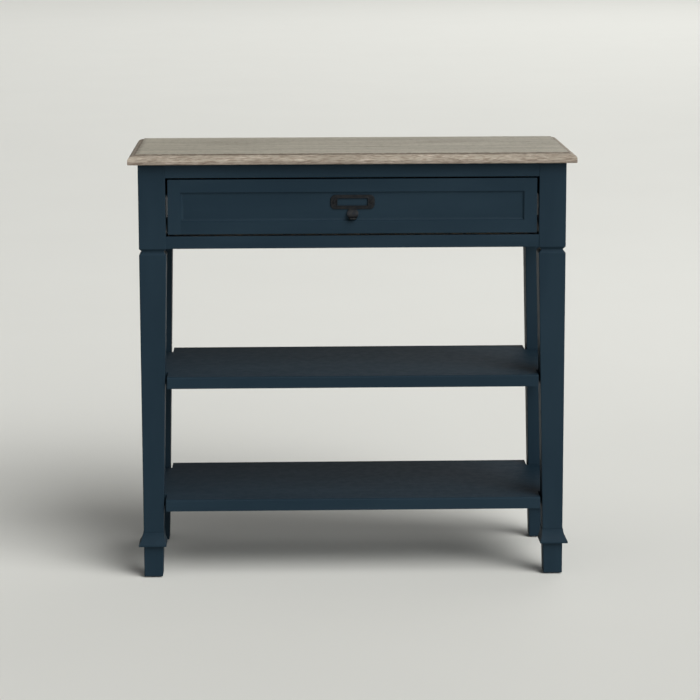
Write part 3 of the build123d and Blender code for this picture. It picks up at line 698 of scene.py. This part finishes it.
# %% [markdown]
# ## Wood figure
# A board is a slice through a stack of nearly round growth rings, so the truest way to draw one is
# to make the rings in three dimensions and let the board's own surface cut them. The distance from
# the pith, divided by the ring spacing, gives the rings. Slow noise bends them. Two finer noises,
# drawn out along the grain, give the streaks and the open pores.

# %% The wood figure group
PITH_RUN = (0.02, 1.0, 1.0)    # the pith runs along the board, so distance along it hardly counts
SLOW_BEND = (1.6, 9.0, 9.0)
STREAK_PACKING = (7.0, 210.0, 210.0)
PORE_PACKING = (38.0, 1500.0, 1500.0)
LATE_STARTS, LATE_ENDS = 0.35, 0.93    # the dark late wood, as shares of one ring


def wood_figure():
    """Rings, streaks and pores for a board whose grain runs along X."""
    tree, start, end = new_group(
        "wood figure",
        {
            "Vector": ("Vector", None),
            "Pith": ("Vector", (0.0, 0.02, -0.15)),
            "Spacing": ("Float", 6 * MM),
            "Wander": ("Float", 12 * MM),
        },
        ("Rings", "Streaks", "Pores"),
    )
    vector, pith, spacing, wander = [start.outputs[n] for n in ("Vector", "Pith", "Spacing", "Wander")]
    from_pith = vector_maths(tree, "SUBTRACT", {0: vector, 1: pith}).outputs[0]
    across = vector_maths(tree, "MULTIPLY", {0: from_pith, 1: PITH_RUN}).outputs[0]
    distance = vector_maths(tree, "LENGTH", {0: across}).outputs["Value"]
    slow = maths(tree, "SUBTRACT", drawn_noise(tree, vector, SLOW_BEND, 2.0), 0.5)
    bent = maths(tree, "ADD", distance, times(tree, slow, wander))
    phase = maths(tree, "FRACT", maths(tree, "DIVIDE", bent, spacing), 0.0)
    late = remap(tree, phase, LATE_STARTS, LATE_ENDS)
    drop = remap(tree, phase, LATE_ENDS, 1.0, 1.0, 0.0)
    streaks = drawn_noise(tree, vector, STREAK_PACKING, 6.0, 0.62)
    pores = drawn_noise(tree, vector, PORE_PACKING, 2.0, 0.5)
    tree.links.new(times(tree, late, drop), end.inputs["Rings"])
    tree.links.new(streaks, end.inputs["Streaks"])
    tree.links.new(remap(tree, pores, 0.56, 0.74), end.inputs["Pores"])
    return tree


WOOD_FIGURE = wood_figure()
print("wood figure has", len(WOOD_FIGURE.nodes), "nodes")

# %% [markdown]
# ## Rubbed edges, and dust and shade in corners
# Hands and sandpaper thin a finish along its outer corners. Its inner ones are darkened, partly as
# dust and wax and partly as painted shade. The Bevel node looks at the surface as if its corners were
# rounded. Where that rounded direction differs from the true one there is a corner. Ambient
# Occlusion tells the hollows from the crests. Both ideas are worth a group, because nearly every
# finish here uses one of them.

# %% The rubbed edge group, and the group for dust and painted shade in corners
CORNER_SAMPLES = 6
SHARP, FLAT = 0.72, 0.995    # how well the two directions agree on a corner, and on a flat
BLOCKED, OPEN = 0.25, 0.95   # how much of the sky a hollow sees, and a flat


def rubbed_edges():
    """How rubbed the surface is, near its outer corners and broken up by noise."""
    tree, start, end = new_group(
        "rubbed edges",
        {"Vector": ("Vector", None), "Width": ("Float", 1.2 * MM), "Break": ("Float", 60.0)},
        ("Rubbed",),
    )
    vector, width, breaks = [start.outputs[n] for n in ("Vector", "Width", "Break")]
    rounded = place(tree, "ShaderNodeBevel", {"Radius": width}, samples=CORNER_SAMPLES).outputs[0]
    true = place(tree, "ShaderNodeNewGeometry").outputs["Normal"]
    agree = vector_maths(tree, "DOT_PRODUCT", {0: rounded, 1: true}).outputs["Value"]
    corner = remap(tree, agree, SHARP, FLAT, 1.0, 0.0)
    patches = noise(tree, vector, breaks, 3.0, 0.5)
    broken = remap(tree, patches, 0.35, 0.7)
    tree.links.new(times(tree, corner, broken), end.inputs["Rubbed"])
    return tree


def dust_and_shade_corners():
    """How deep in a hollow the surface is, for darkening it there with dust and painted shade."""
    tree, start, end = new_group("settled corners", {"Reach": ("Float", 8 * MM)}, ("Dust_and_shade",))
    reach = {"Distance": start.outputs["Reach"]}
    hollow = place(tree, "ShaderNodeAmbientOcclusion", reach, samples=CORNER_SAMPLES)
    dust_and_shade = remap(tree, hollow.outputs["AO"], BLOCKED, OPEN, 1.0, 0.0)
    tree.links.new(dust_and_shade, end.inputs["Dust_and_shade"])
    return tree


RUBBED_EDGES = rubbed_edges()
DUST_AND_SHADE_CORNERS = dust_and_shade_corners()
for group in (RUBBED_EDGES, DUST_AND_SHADE_CORNERS):
    print(group.name, "has", len(group.nodes), "nodes")

# %% [markdown]
# ## Which way the grain runs
# Wood is cut so that its grain runs along its length. So the longest side of a piece says how the
# pattern has to be turned, and a Mapping node does the turning. The lines of a rolling mill follow
# the length too.

# %% Start a material, with its pattern turned along the piece
TURNS = {0: (0, 0, 0), 1: (0, 0, math.radians(-90)), 2: (0, math.radians(90), 0)}


def long_axis(name):
    """0, 1 or 2 for a piece that is longest along X, Y or Z."""
    low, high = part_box(name)
    size = high - low
    return max(range(3), key=lambda axis: size[axis])


def start_material(name, axis, knobs):
    """A material, its shader with some knobs set, and coordinates turned so X runs along the piece."""
    made = bpy.data.materials.new(name)
    made.use_nodes = True
    tree = made.node_tree
    tree.nodes.clear()
    shader = place(tree, "ShaderNodeBsdfPrincipled", knobs)
    output = place(tree, "ShaderNodeOutputMaterial")
    tree.links.new(shader.outputs[0], output.inputs["Surface"])
    here = place(tree, "ShaderNodeTexCoord").outputs["Object"]
    turned = place(tree, "ShaderNodeMapping", {"Vector": here, "Rotation": TURNS[axis]})
    return made, tree, shader, turned.outputs[0]


def connect(tree, shader, colour, roughness, height=None, depth=0.0):
    """Feeds a shader its colour, roughness and, through a Bump node, any relief."""
    tree.links.new(colour, shader.inputs["Base Color"])
    tree.links.new(roughness, shader.inputs["Roughness"])
    if height is not None:
        bump = place(tree, "ShaderNodeBump", {"Height": height, "Distance": depth, "Strength": 1.0})
        tree.links.new(bump.outputs[0], shader.inputs["Normal"])


def add_dust_and_shade(tree, colour, reach, share, dust):
    """Darkens the hollows of a colour, as dust and as painted shade."""
    hollow = use_group(tree, DUST_AND_SHADE_CORNERS, {"Reach": reach}).outputs["Dust_and_shade"]
    return layer(tree, colour, hollow, share, dust)


def rub(tree, colour, along, width, breaks, share, bare):
    """Rubs a colour through at its outer corners."""
    inputs = {"Vector": along, "Width": width, "Break": breaks}
    rubbed = use_group(tree, RUBBED_EDGES, inputs).outputs["Rubbed"]
    return layer(tree, colour, rubbed, share, bare)


def dress(piece, material):
    """Gives a piece one finish and no other."""
    piece.data.materials.clear()
    piece.data.materials.append(material)


print("the grain of the top runs along", "XYZ"[long_axis("tabletop")])

# %% [markdown]
# ## The washed top
# The top is oak or ash, brushed to open its pores, stained grey and then wiped with a thin cream
# wash that stays in the pores and along the worn moulding. The first layer is the stained wood:
# wide bands of grey-brown, darker late rings, short flecks, and the streaks of the grain.

# %% The top, stained grey
BAND_PACKING = (2.2, 26.0, 26.0)
FLECK_PACKING = (55.0, 420.0, 420.0)
BAND_GREY, BAND_PALE = rgb(167, 162, 147), rgb(185, 179, 163)
LATE_GREY, FLECK_GREY, STREAK_GREY = rgb(132, 124, 111), rgb(124, 118, 103), rgb(126, 119, 104)


def stained_grey(tree, along, figure):
    """Grey-brown wood, before the wash."""
    bands = remap(tree, drawn_noise(tree, along, BAND_PACKING, 3.0), 0.3, 0.7)
    base = blend_colours(tree, bands, BAND_GREY, BAND_PALE)
    ringed = layer(tree, base, figure.outputs["Rings"], 0.38, LATE_GREY)
    flecks = drawn_noise(tree, along, FLECK_PACKING, 4.0, 0.6)
    flecked = blend_colours(tree, remap(tree, flecks, 0.5, 0.7, 0.0, 0.5), ringed, FLECK_GREY)
    dark = remap(tree, figure.outputs["Streaks"], 0.52, 0.72, 0.0, 0.55)
    return blend_colours(tree, dark, flecked, STREAK_GREY)


print("the stain is made from five greys")

# %% [markdown]
# The wash behaves differently on the flat and on the moulding, so the finish has to know how far
# below the flat a point is. A hand never holds that line dead level, so a little noise wavers it.
# Down the moulding the cream catches more, the brush bares some brown wood, and it all turns a
# little darker, with painted shade on the lower band. A dark line of painted shade runs along the small
# step.

# %% The cream wash, the bared moulding and the step
HAND_WAVER, waver_height = (70.0, 300.0, 0.0), 4 * MM
CREAM_LINES, CREAM_PATCHES, BROWN_LINES = (48.0, 620.0, 620.0), (22.0, 60.0, 60.0), (60.0, 520.0, 520.0)
# The last colour is painted shade: a dark line in the small step.
BARED_BROWN, CREAM, STEP_PAINTED_SHADE = rgb(122, 108, 92), rgb(232, 222, 206), rgb(92, 82, 70)
WHITE = (1.0, 1.0, 1.0, 1.0)
# The second tone darkens the lower band: painted shade where its rounded underside faces down.
MOULDING_TONE, UNDER_PAINTED_SHADE = (0.85, 0.80, 0.785, 1.0), (0.66, 0.60, 0.60, 1.0)


def wavering_height(tree, along):
    """How high a point of the top is, wavering as a hand does."""
    level = place(tree, "ShaderNodeSeparateXYZ", {0: along}).outputs[2]
    waver = maths(tree, "SUBTRACT", drawn_noise(tree, along, HAND_WAVER, 3.0), 0.5)
    return maths(tree, "ADD", level, times(tree, waver, waver_height))


def below_flat(tree, height, start, end):
    """From 0 to 1 between two depths below the flat of the top."""
    return remap(tree, height, top_high.z - start, top_high.z - end)


def wipe_on_cream(tree, colour, along, height):
    """Bares some brown wood down the moulding, then leaves cream in the grain."""
    moulded = below_flat(tree, height, 0.2 * MM, 2.5 * MM)
    low_down = below_flat(tree, height, 4 * MM, 9 * MM)
    lines = remap(tree, drawn_noise(tree, along, CREAM_LINES, 4.0, 0.65), 0.48, 0.66)
    patches = remap(tree, drawn_noise(tree, along, CREAM_PATCHES, 3.0), 0.36, 0.6)
    caught = times(tree, lines, patches)
    on_edge = times(tree, caught, remap(tree, moulded, 0.0, 1.0, 0.2, 1.0))
    cream = times(tree, on_edge, remap(tree, low_down, 0.0, 1.0, 1.0, 0.55))
    brown_lines = remap(tree, drawn_noise(tree, along, BROWN_LINES, 4.0, 0.6), 0.46, 0.64)
    brown = times(tree, brown_lines, remap(tree, moulded, 0.0, 1.0, 0.0, 0.8))
    return blend_colours(tree, cream, blend_colours(tree, brown, colour, BARED_BROWN), CREAM)


def paint_step_shade(tree, colour, height):
    """Paints a dark line of shade in the small step between the flat and the ovolo."""
    under_crest = below_flat(tree, height, 0.2 * MM, 0.8 * MM)
    above_foot = below_flat(tree, height, 3.2 * MM, 2.2 * MM)
    on_step = times(tree, under_crest, above_foot)
    return layer(tree, colour, on_step, 0.75, STEP_PAINTED_SHADE)


def tone_and_shade_the_edge(tree, colour, height):
    """Darkens and warms the moulding a little, and paints shade on the lower arris, where it faces
    down.
    """
    shaded = blend_colours(tree, below_flat(tree, height, 0.2 * MM, 2.5 * MM), WHITE, MOULDING_TONE)
    under = remap(tree, height, top_low.z + 8 * MM, top_low.z + 5 * MM)
    toned = blend_colours(tree, under, shaded, UNDER_PAINTED_SHADE)
    return blend_colours(tree, 1.0, colour, toned, "MULTIPLY")


print("the moulding is", round((edge_step + edge_round) / MM, 1), "mm high under the flat")

# %% [markdown]
# Now the layers go on in a finisher's order. The same pores and streaks that colour the wood also
# raise its relief, so that light and colour agree.

# %% Grey-washed wood
TOP_PITH, TOP_SPACING, TOP_WANDER = (0.0, 0.06, 0.72), 11 * MM, 50 * MM
# The second brown darkens hollows and corners, both as dust and as painted shade.
PORE_BROWN, DUST_AND_SHADE_BROWN = rgb(112, 103, 92), rgb(84, 76, 66)
dust_and_shade_reach, top_relief = 5 * MM, 0.35 * MM


def grey_washed_wood():
    """Stained grey, brushed and wiped with a cream wash."""
    made, tree, shader, along = start_material("grey washed wood", 0, {"Specular IOR Level": 0.35})
    figure = use_group(
        tree,
        WOOD_FIGURE,
        {"Vector": along, "Pith": TOP_PITH, "Spacing": TOP_SPACING, "Wander": TOP_WANDER},
    )
    streaks, pores = figure.outputs["Streaks"], figure.outputs["Pores"]
    height = wavering_height(tree, along)
    stained = stained_grey(tree, along, figure)
    washed = wipe_on_cream(tree, stained, along, height)
    pored = layer(tree, washed, pores, 0.35, PORE_BROWN)
    # Darkens hollows and corners: dust, and painted shade.
    dust_and_shade = add_dust_and_shade(tree, pored, dust_and_shade_reach, 0.7, DUST_AND_SHADE_BROWN)
    # Painted shade: a dark line along the step.
    step_shaded = paint_step_shade(tree, dust_and_shade, height)
    # A darker, warmer moulding, and painted shade on the lower band.
    colour = tone_and_shade_the_edge(tree, step_shaded, height)
    rough = remap(tree, streaks, 0.3, 0.7, 0.5, 0.66)
    relief = maths(tree, "ADD", streaks, times(tree, pores, -0.6))
    connect(tree, shader, colour, rough, relief, top_relief)
    return made


dress(worktop, grey_washed_wood())
print("the top wears", worktop.data.materials[0].name)

# %% [markdown]
# ## Navy paint
# The paint is sprayed satin lacquer over solid wood. Up close it has three scales of detail: a
# faint orange peel from the gun, the wood's own pores just telegraphing through, and a very slow
# change of tone. On the corners the coat is thin and a little paler, and inside them it is darkened,
# partly as dust and partly as painted shade.

# %% Navy paint, for grain along each axis
NAVY_DARK, NAVY_PALE, NAVY_THIN = rgb(24, 41, 52), rgb(29, 46, 57), rgb(46, 62, 72)
# This darker navy is laid in hollows, as dust and as painted shade.
NAVY_DUST_AND_SHADE = rgb(12, 20, 26)
TONE_PACKING = (3.0, 12.0, 12.0)
PEEL_SCALE, PATCH_SCALE = 520.0, 60.0
paint_relief = 0.06 * MM


def navy_paint(axis):
    """Satin navy lacquer on wood."""
    name = "navy paint " + "XYZ"[axis]
    made, tree, shader, along = start_material(name, axis, {"Specular IOR Level": 0.1})
    inputs = {"Vector": along, "Spacing": 7 * MM, "Wander": 20 * MM}
    figure = use_group(tree, WOOD_FIGURE, inputs)
    slow = remap(tree, drawn_noise(tree, along, TONE_PACKING, 3.0), 0.3, 0.7)
    tone = blend_colours(tree, slow, NAVY_DARK, NAVY_PALE)
    thin = rub(tree, tone, along, 1.0 * MM, 45.0, 0.22, NAVY_THIN)
    # Darker navy in hollows: dust, and painted shade.
    colour = add_dust_and_shade(tree, thin, 6 * MM, 0.3, NAVY_DUST_AND_SHADE)
    rough = remap(tree, noise(tree, along, PATCH_SCALE, 4.0), 0.3, 0.7, 0.54, 0.6)
    peel = noise(tree, along, PEEL_SCALE, 2.0, 0.5)
    pores = times(tree, figure.outputs["Pores"], -0.5)
    grain = times(tree, figure.outputs["Streaks"], 0.8)
    relief = maths(tree, "ADD", maths(tree, "ADD", peel, pores), grain)
    connect(tree, shader, colour, rough, relief, paint_relief)
    return made


print("the paint's relief is", round(paint_relief / MM, 3), "mm deep")

# %% [markdown]
# ## Bare woods
# Nobody paints the inside of a drawer or the blocks under the top. The box is pale birch with a
# thin clear coat, the blocks and cleats are plain softwood with wide rings, and the dowels are
# beech, with its close rings.

# %% Birch, softwood and beech
# The first brown is laid in hollows, as dust and as painted shade.
WOOD_DUST_AND_SHADE, WOOD_PORE = rgb(120, 96, 68), rgb(140, 108, 74)
wood_relief = 0.08 * MM


def bare_wood(name, axis, early, late, spacing, coat):
    """Unpainted wood in two tones, with rings, streaks and pores."""
    coated = {"Coat Weight": coat, "Coat Roughness": 0.3}
    made, tree, shader, along = start_material(name + " " + "XYZ"[axis], axis, coated)
    inputs = {"Vector": along, "Spacing": spacing, "Wander": 30 * MM}
    figure = use_group(tree, WOOD_FIGURE, inputs)
    streaks, pores = figure.outputs["Streaks"], figure.outputs["Pores"]
    ringed = layer(tree, early, figure.outputs["Rings"], 0.65, late)
    streaked = blend_colours(tree, remap(tree, streaks, 0.5, 0.75, 0.0, 0.4), ringed, late)
    # Darker in hollows: dust, and painted shade.
    dusty_and_shaded = add_dust_and_shade(tree, streaked, 5 * MM, 0.25, WOOD_DUST_AND_SHADE)
    colour = layer(tree, dusty_and_shaded, pores, 0.3, WOOD_PORE)
    rough = remap(tree, streaks, 0.3, 0.7, 0.46, 0.6)
    connect(tree, shader, colour, rough, maths(tree, "SUBTRACT", streaks, pores), wood_relief)
    return made


def birch(axis):
    """The drawer box, clear-coated."""
    return bare_wood("clear birch", axis, rgb(222, 199, 160), rgb(192, 160, 116), 4.5 * MM, 0.25)


def softwood(axis):
    """The blocks and cleats under the top."""
    return bare_wood("plain softwood", axis, rgb(219, 189, 143), rgb(176, 128, 78), 6.5 * MM, 0.0)


def beech(axis):
    """The dowels."""
    return bare_wood("beech dowel", axis, rgb(206, 170, 128), rgb(170, 128, 86), 2 * MM, 0.0)


print("three bare woods are ready")

# %% [markdown]
# ## Metals and nylon
# The slides are rolled from zinc-plated strip, so they carry fine lines along their length and a
# slightly cloudy shine. The screws and bolts are plated too, but turned, so they are only cloudy.
# The balls are polished.

# %% Zinc strip, plated and polished steel
BARE_METAL = {"Metallic": 1.0}
ROLLED_LINES = (12.0, 2600.0, 2600.0)
# Laid in hollows, as grime and as painted shade.
PLATED_GRIME_AND_SHADE = rgb(70, 66, 60)
strip_relief, plated_relief, ball_relief = 0.02 * MM, 0.02 * MM, 0.005 * MM


def zinc_strip(axis):
    """Rolled, zinc-plated steel, with lines along its length."""
    made, tree, shader, along = start_material("zinc strip " + "XYZ"[axis], axis, BARE_METAL)
    lines = drawn_noise(tree, along, ROLLED_LINES, 3.0)
    cloud = noise(tree, along, 90.0, 4.0)
    colour = blend_colours(tree, remap(tree, cloud, 0.35, 0.7), rgb(194, 197, 200), rgb(181, 184, 188))
    both = maths(tree, "ADD", times(tree, lines, 0.6), times(tree, cloud, 0.4))
    rough = remap(tree, both, 0.35, 0.65, 0.28, 0.35)
    connect(tree, shader, colour, rough, lines, strip_relief)
    return made


def plated_steel(axis):
    """Turned and zinc-plated steel."""
    made, tree, shader, along = start_material("plated steel " + "XYZ"[axis], axis, BARE_METAL)
    cloud = noise(tree, along, 260.0, 4.0)
    colour = blend_colours(tree, remap(tree, cloud, 0.35, 0.7), rgb(190, 190, 184), rgb(160, 158, 148))
    # Darker in hollows: grime, and painted shade.
    grimy_and_shaded = add_dust_and_shade(tree, colour, 1.5 * MM, 0.5, PLATED_GRIME_AND_SHADE)
    rough = remap(tree, cloud, 0.3, 0.7, 0.28, 0.45)
    connect(tree, shader, grimy_and_shaded, rough, cloud, plated_relief)
    return made


def polished_steel(axis):
    """Bearing balls, with the faintest scratches and a film of grease."""
    made, tree, shader, along = start_material("polished steel", axis, BARE_METAL)
    film = noise(tree, along, 400.0, 3.0)
    colour = blend_colours(tree, remap(tree, film, 0.4, 0.7), rgb(214, 216, 220), rgb(188, 184, 172))
    rough = remap(tree, film, 0.3, 0.75, 0.08, 0.22)
    connect(tree, shader, colour, rough, film, ball_relief)
    return made


print("the rolled lines are", round(1000 / ROLLED_LINES[1], 2), "mm apart")

# %% [markdown]
# The pull is cast and given a dark brown-black finish that has worn through to bronze where fingers
# touch it. The glides under the feet are plain dark nylon, scuffed by the floor.

# %% Dark bronze and nylon
BRONZE_BARE = rgb(116, 88, 62)
NYLON_SCUFFS = (300.0, 900.0, 300.0)
cast_relief, nylon_relief = 0.08 * MM, 0.05 * MM


def dark_bronze(axis):
    """Cast bronze with a dark finish, rubbed on its crests."""
    made, tree, shader, along = start_material("dark bronze", axis, {"Metallic": 0.85})
    cloud = noise(tree, along, 150.0, 5.0, 0.6)
    dark = blend_colours(tree, remap(tree, cloud, 0.35, 0.7), rgb(29, 32, 36), rgb(42, 42, 42))
    colour = rub(tree, dark, along, 0.6 * MM, 220.0, 0.5, BRONZE_BARE)
    rough = remap(tree, cloud, 0.3, 0.7, 0.38, 0.55)
    connect(tree, shader, colour, rough, noise(tree, along, 900.0, 3.0), cast_relief)
    return made


def dark_nylon(axis):
    """Moulded nylon, scuffed by the floor."""
    made, tree, shader, along = start_material("dark nylon", axis, {})
    scuff = drawn_noise(tree, along, NYLON_SCUFFS, 4.0)
    colour = blend_colours(tree, remap(tree, scuff, 0.5, 0.72), rgb(48, 42, 38), rgb(88, 82, 76))
    rough = remap(tree, scuff, 0.3, 0.7, 0.42, 0.6)
    connect(tree, shader, colour, rough, scuff, nylon_relief)
    return made


print("the cast skin of the pull is", cast_relief / MM, "mm deep")

# %% [markdown]
# ## Dress every piece of joinery
# The record that came with the model says which finish each piece has. A table from that word to
# the function that makes the finish, and the piece's long axis, are all that is needed. The new top
# keeps the washed wood that it already wears, and the new pull is given its bronze.

# %% Give each piece its finish
FINISHES = {
    "grey_wood": lambda axis: worktop.data.materials[0],
    "painted_navy": navy_paint,
    "frame_wood": softwood,
    "drawer_wood": birch,
    "beech": beech,
    "zinc_steel": zinc_strip,
    "fastener_steel": plated_steel,
    "ball_steel": polished_steel,
    "dark_bronze": dark_bronze,
    "nylon": dark_nylon,
}
made_finishes = {}


def finish_for(slot, axis):
    """The material for a slot and a grain direction, made the first time it is asked for."""
    if (slot, axis) not in made_finishes:
        made_finishes[slot, axis] = FINISHES[slot](axis)
    return made_finishes[slot, axis]


for subpart in frame["record"]["subparts"]:
    node = subpart["node"]
    dress(frame["nodes"][node], finish_for(subpart["material_slot"], long_axis(node)))
dress(pull, finish_for("dark_bronze", 0))

# %% [markdown]
# ## A floor
# A pale matt floor that runs far back hides its own horizon, as a studio's paper sweep does.

# %% Floor
FLOOR_SIZE = 160
PAPER_SHADE, PAPER_PALE = rgb(226, 226, 220), rgb(229, 229, 223)


def pale_floor():
    """A wide matt floor with the faintest unevenness."""
    put_down()
    bpy.ops.mesh.primitive_plane_add(size=FLOOR_SIZE, location=(0, 0, 0))
    floor = bpy.context.object
    floor.name = "studio floor"
    made, tree, shader, along = start_material("studio paper", 0, {"Specular IOR Level": 0.2})
    cloud = noise(tree, along, 1.3, 3.0)
    colour = blend_colours(tree, cloud, PAPER_SHADE, PAPER_PALE)
    connect(tree, shader, colour, remap(tree, cloud, 0.0, 1.0, 0.85, 0.95))
    floor.data.materials.append(made)
    return floor


print(pale_floor().name, "is", FLOOR_SIZE, "m wide")

# %% [markdown]
# ## Soft light
# Two soft lights shine from the front right, one high and one low, so the shadow is soft and falls
# back and to the left. A weak one from high on the left opens the shadow. The floor behind the table
# would fade with distance, so softboxes out of sight bring it up, and the sky lifts the rest.

# %% Lights and sky
LIGHT_COLOUR = (1.0, 1.0, 1.0)
SUN_SPOT, SUN_SPREAD = (0, 0, 4), math.radians(45)    # a sun shines the same from anywhere
SKY_STRENGTH = 0.08


def hang_lamp(kind, name, place_at, turned, energy):
    """Adds a lamp and returns its settings."""
    bpy.ops.object.light_add(type=kind, location=place_at)
    lamp = bpy.context.object
    lamp.name = name
    lamp.rotation_euler = turned
    lamp.data.energy = energy
    lamp.data.color = LIGHT_COLOUR
    return lamp.data


def sun(name, azimuth, height, strength):
    """A distant soft light. Azimuth 0 shines along +Y, and a positive one comes from the right."""
    turned = (math.radians(90 - height), 0, math.radians(azimuth))
    hang_lamp("SUN", name, SUN_SPOT, turned, strength).angle = SUN_SPREAD


def softbox(name, place_at, aim, size, watts):
    """A large square lamp aimed at a spot on the floor."""
    facing = (Vector(aim) - Vector(place_at)).to_track_quat("-Z", "Y").to_euler()
    hang_lamp("AREA", name, place_at, facing, watts).size = size


def soft_sky():
    """An even white sky, and colours shown as they are."""
    world = bpy.data.worlds.new("soft sky")
    bpy.context.scene.world = world
    world.use_nodes = True
    sky = world.node_tree.nodes["Background"]
    sky.inputs["Color"].default_value = WHITE
    sky.inputs["Strength"].default_value = SKY_STRENGTH
    bpy.context.scene.view_settings.view_transform = "Standard"


sun("key light", azimuth=45, height=45, strength=1.95)
sun("low front light", azimuth=30, height=25, strength=1.57)
sun("left fill", azimuth=-70, height=70, strength=0.175)
softbox("right falloff", place_at=(2.2, 3, 4), aim=(2, 3, 0), size=3, watts=30)
softbox("near sweep", place_at=(3, 7, 4), aim=(0.5, 7, 0), size=6, watts=24)
softbox("middle sweep", place_at=(4, 14, 6), aim=(3, 14, 0), size=8, watts=72)
softbox("far sweep", place_at=(6, 25, 10), aim=(4, 25, 0), size=12, watts=465)
soft_sky()
print(len(bpy.data.lights), "lamps")

# %% [markdown]
# ## The camera
# From close by, a table's near legs look much longer than its far ones. So the camera stands well
# back with a long lens, just high enough to show the shelves and a sliver of the top.

# %% Camera
CAMERA_SPOT = (-0.1457, -5.5638, 1.435)
CAMERA_TILT, CAMERA_ROLL, CAMERA_TURN = 80.09, 0.16, -1.51
SENSOR_WIDTH, LENS_LENGTH = 36, 132.3    # both in millimetres
SIGHT_LIMIT = 300


def long_lens_camera():
    """A camera far back on a long lens, a little above the top and just left of the middle."""
    put_down()
    bpy.ops.object.camera_add(location=CAMERA_SPOT)
    camera = bpy.context.object
    camera.name = "camera"
    camera.rotation_euler = [math.radians(v) for v in (CAMERA_TILT, CAMERA_ROLL, CAMERA_TURN)]
    camera.data.sensor_width = SENSOR_WIDTH
    camera.data.lens = LENS_LENGTH
    camera.data.clip_end = SIGHT_LIMIT
    bpy.context.scene.camera = camera
    return camera


print("the camera stands", round(-long_lens_camera().location.y, 1), "m in front")
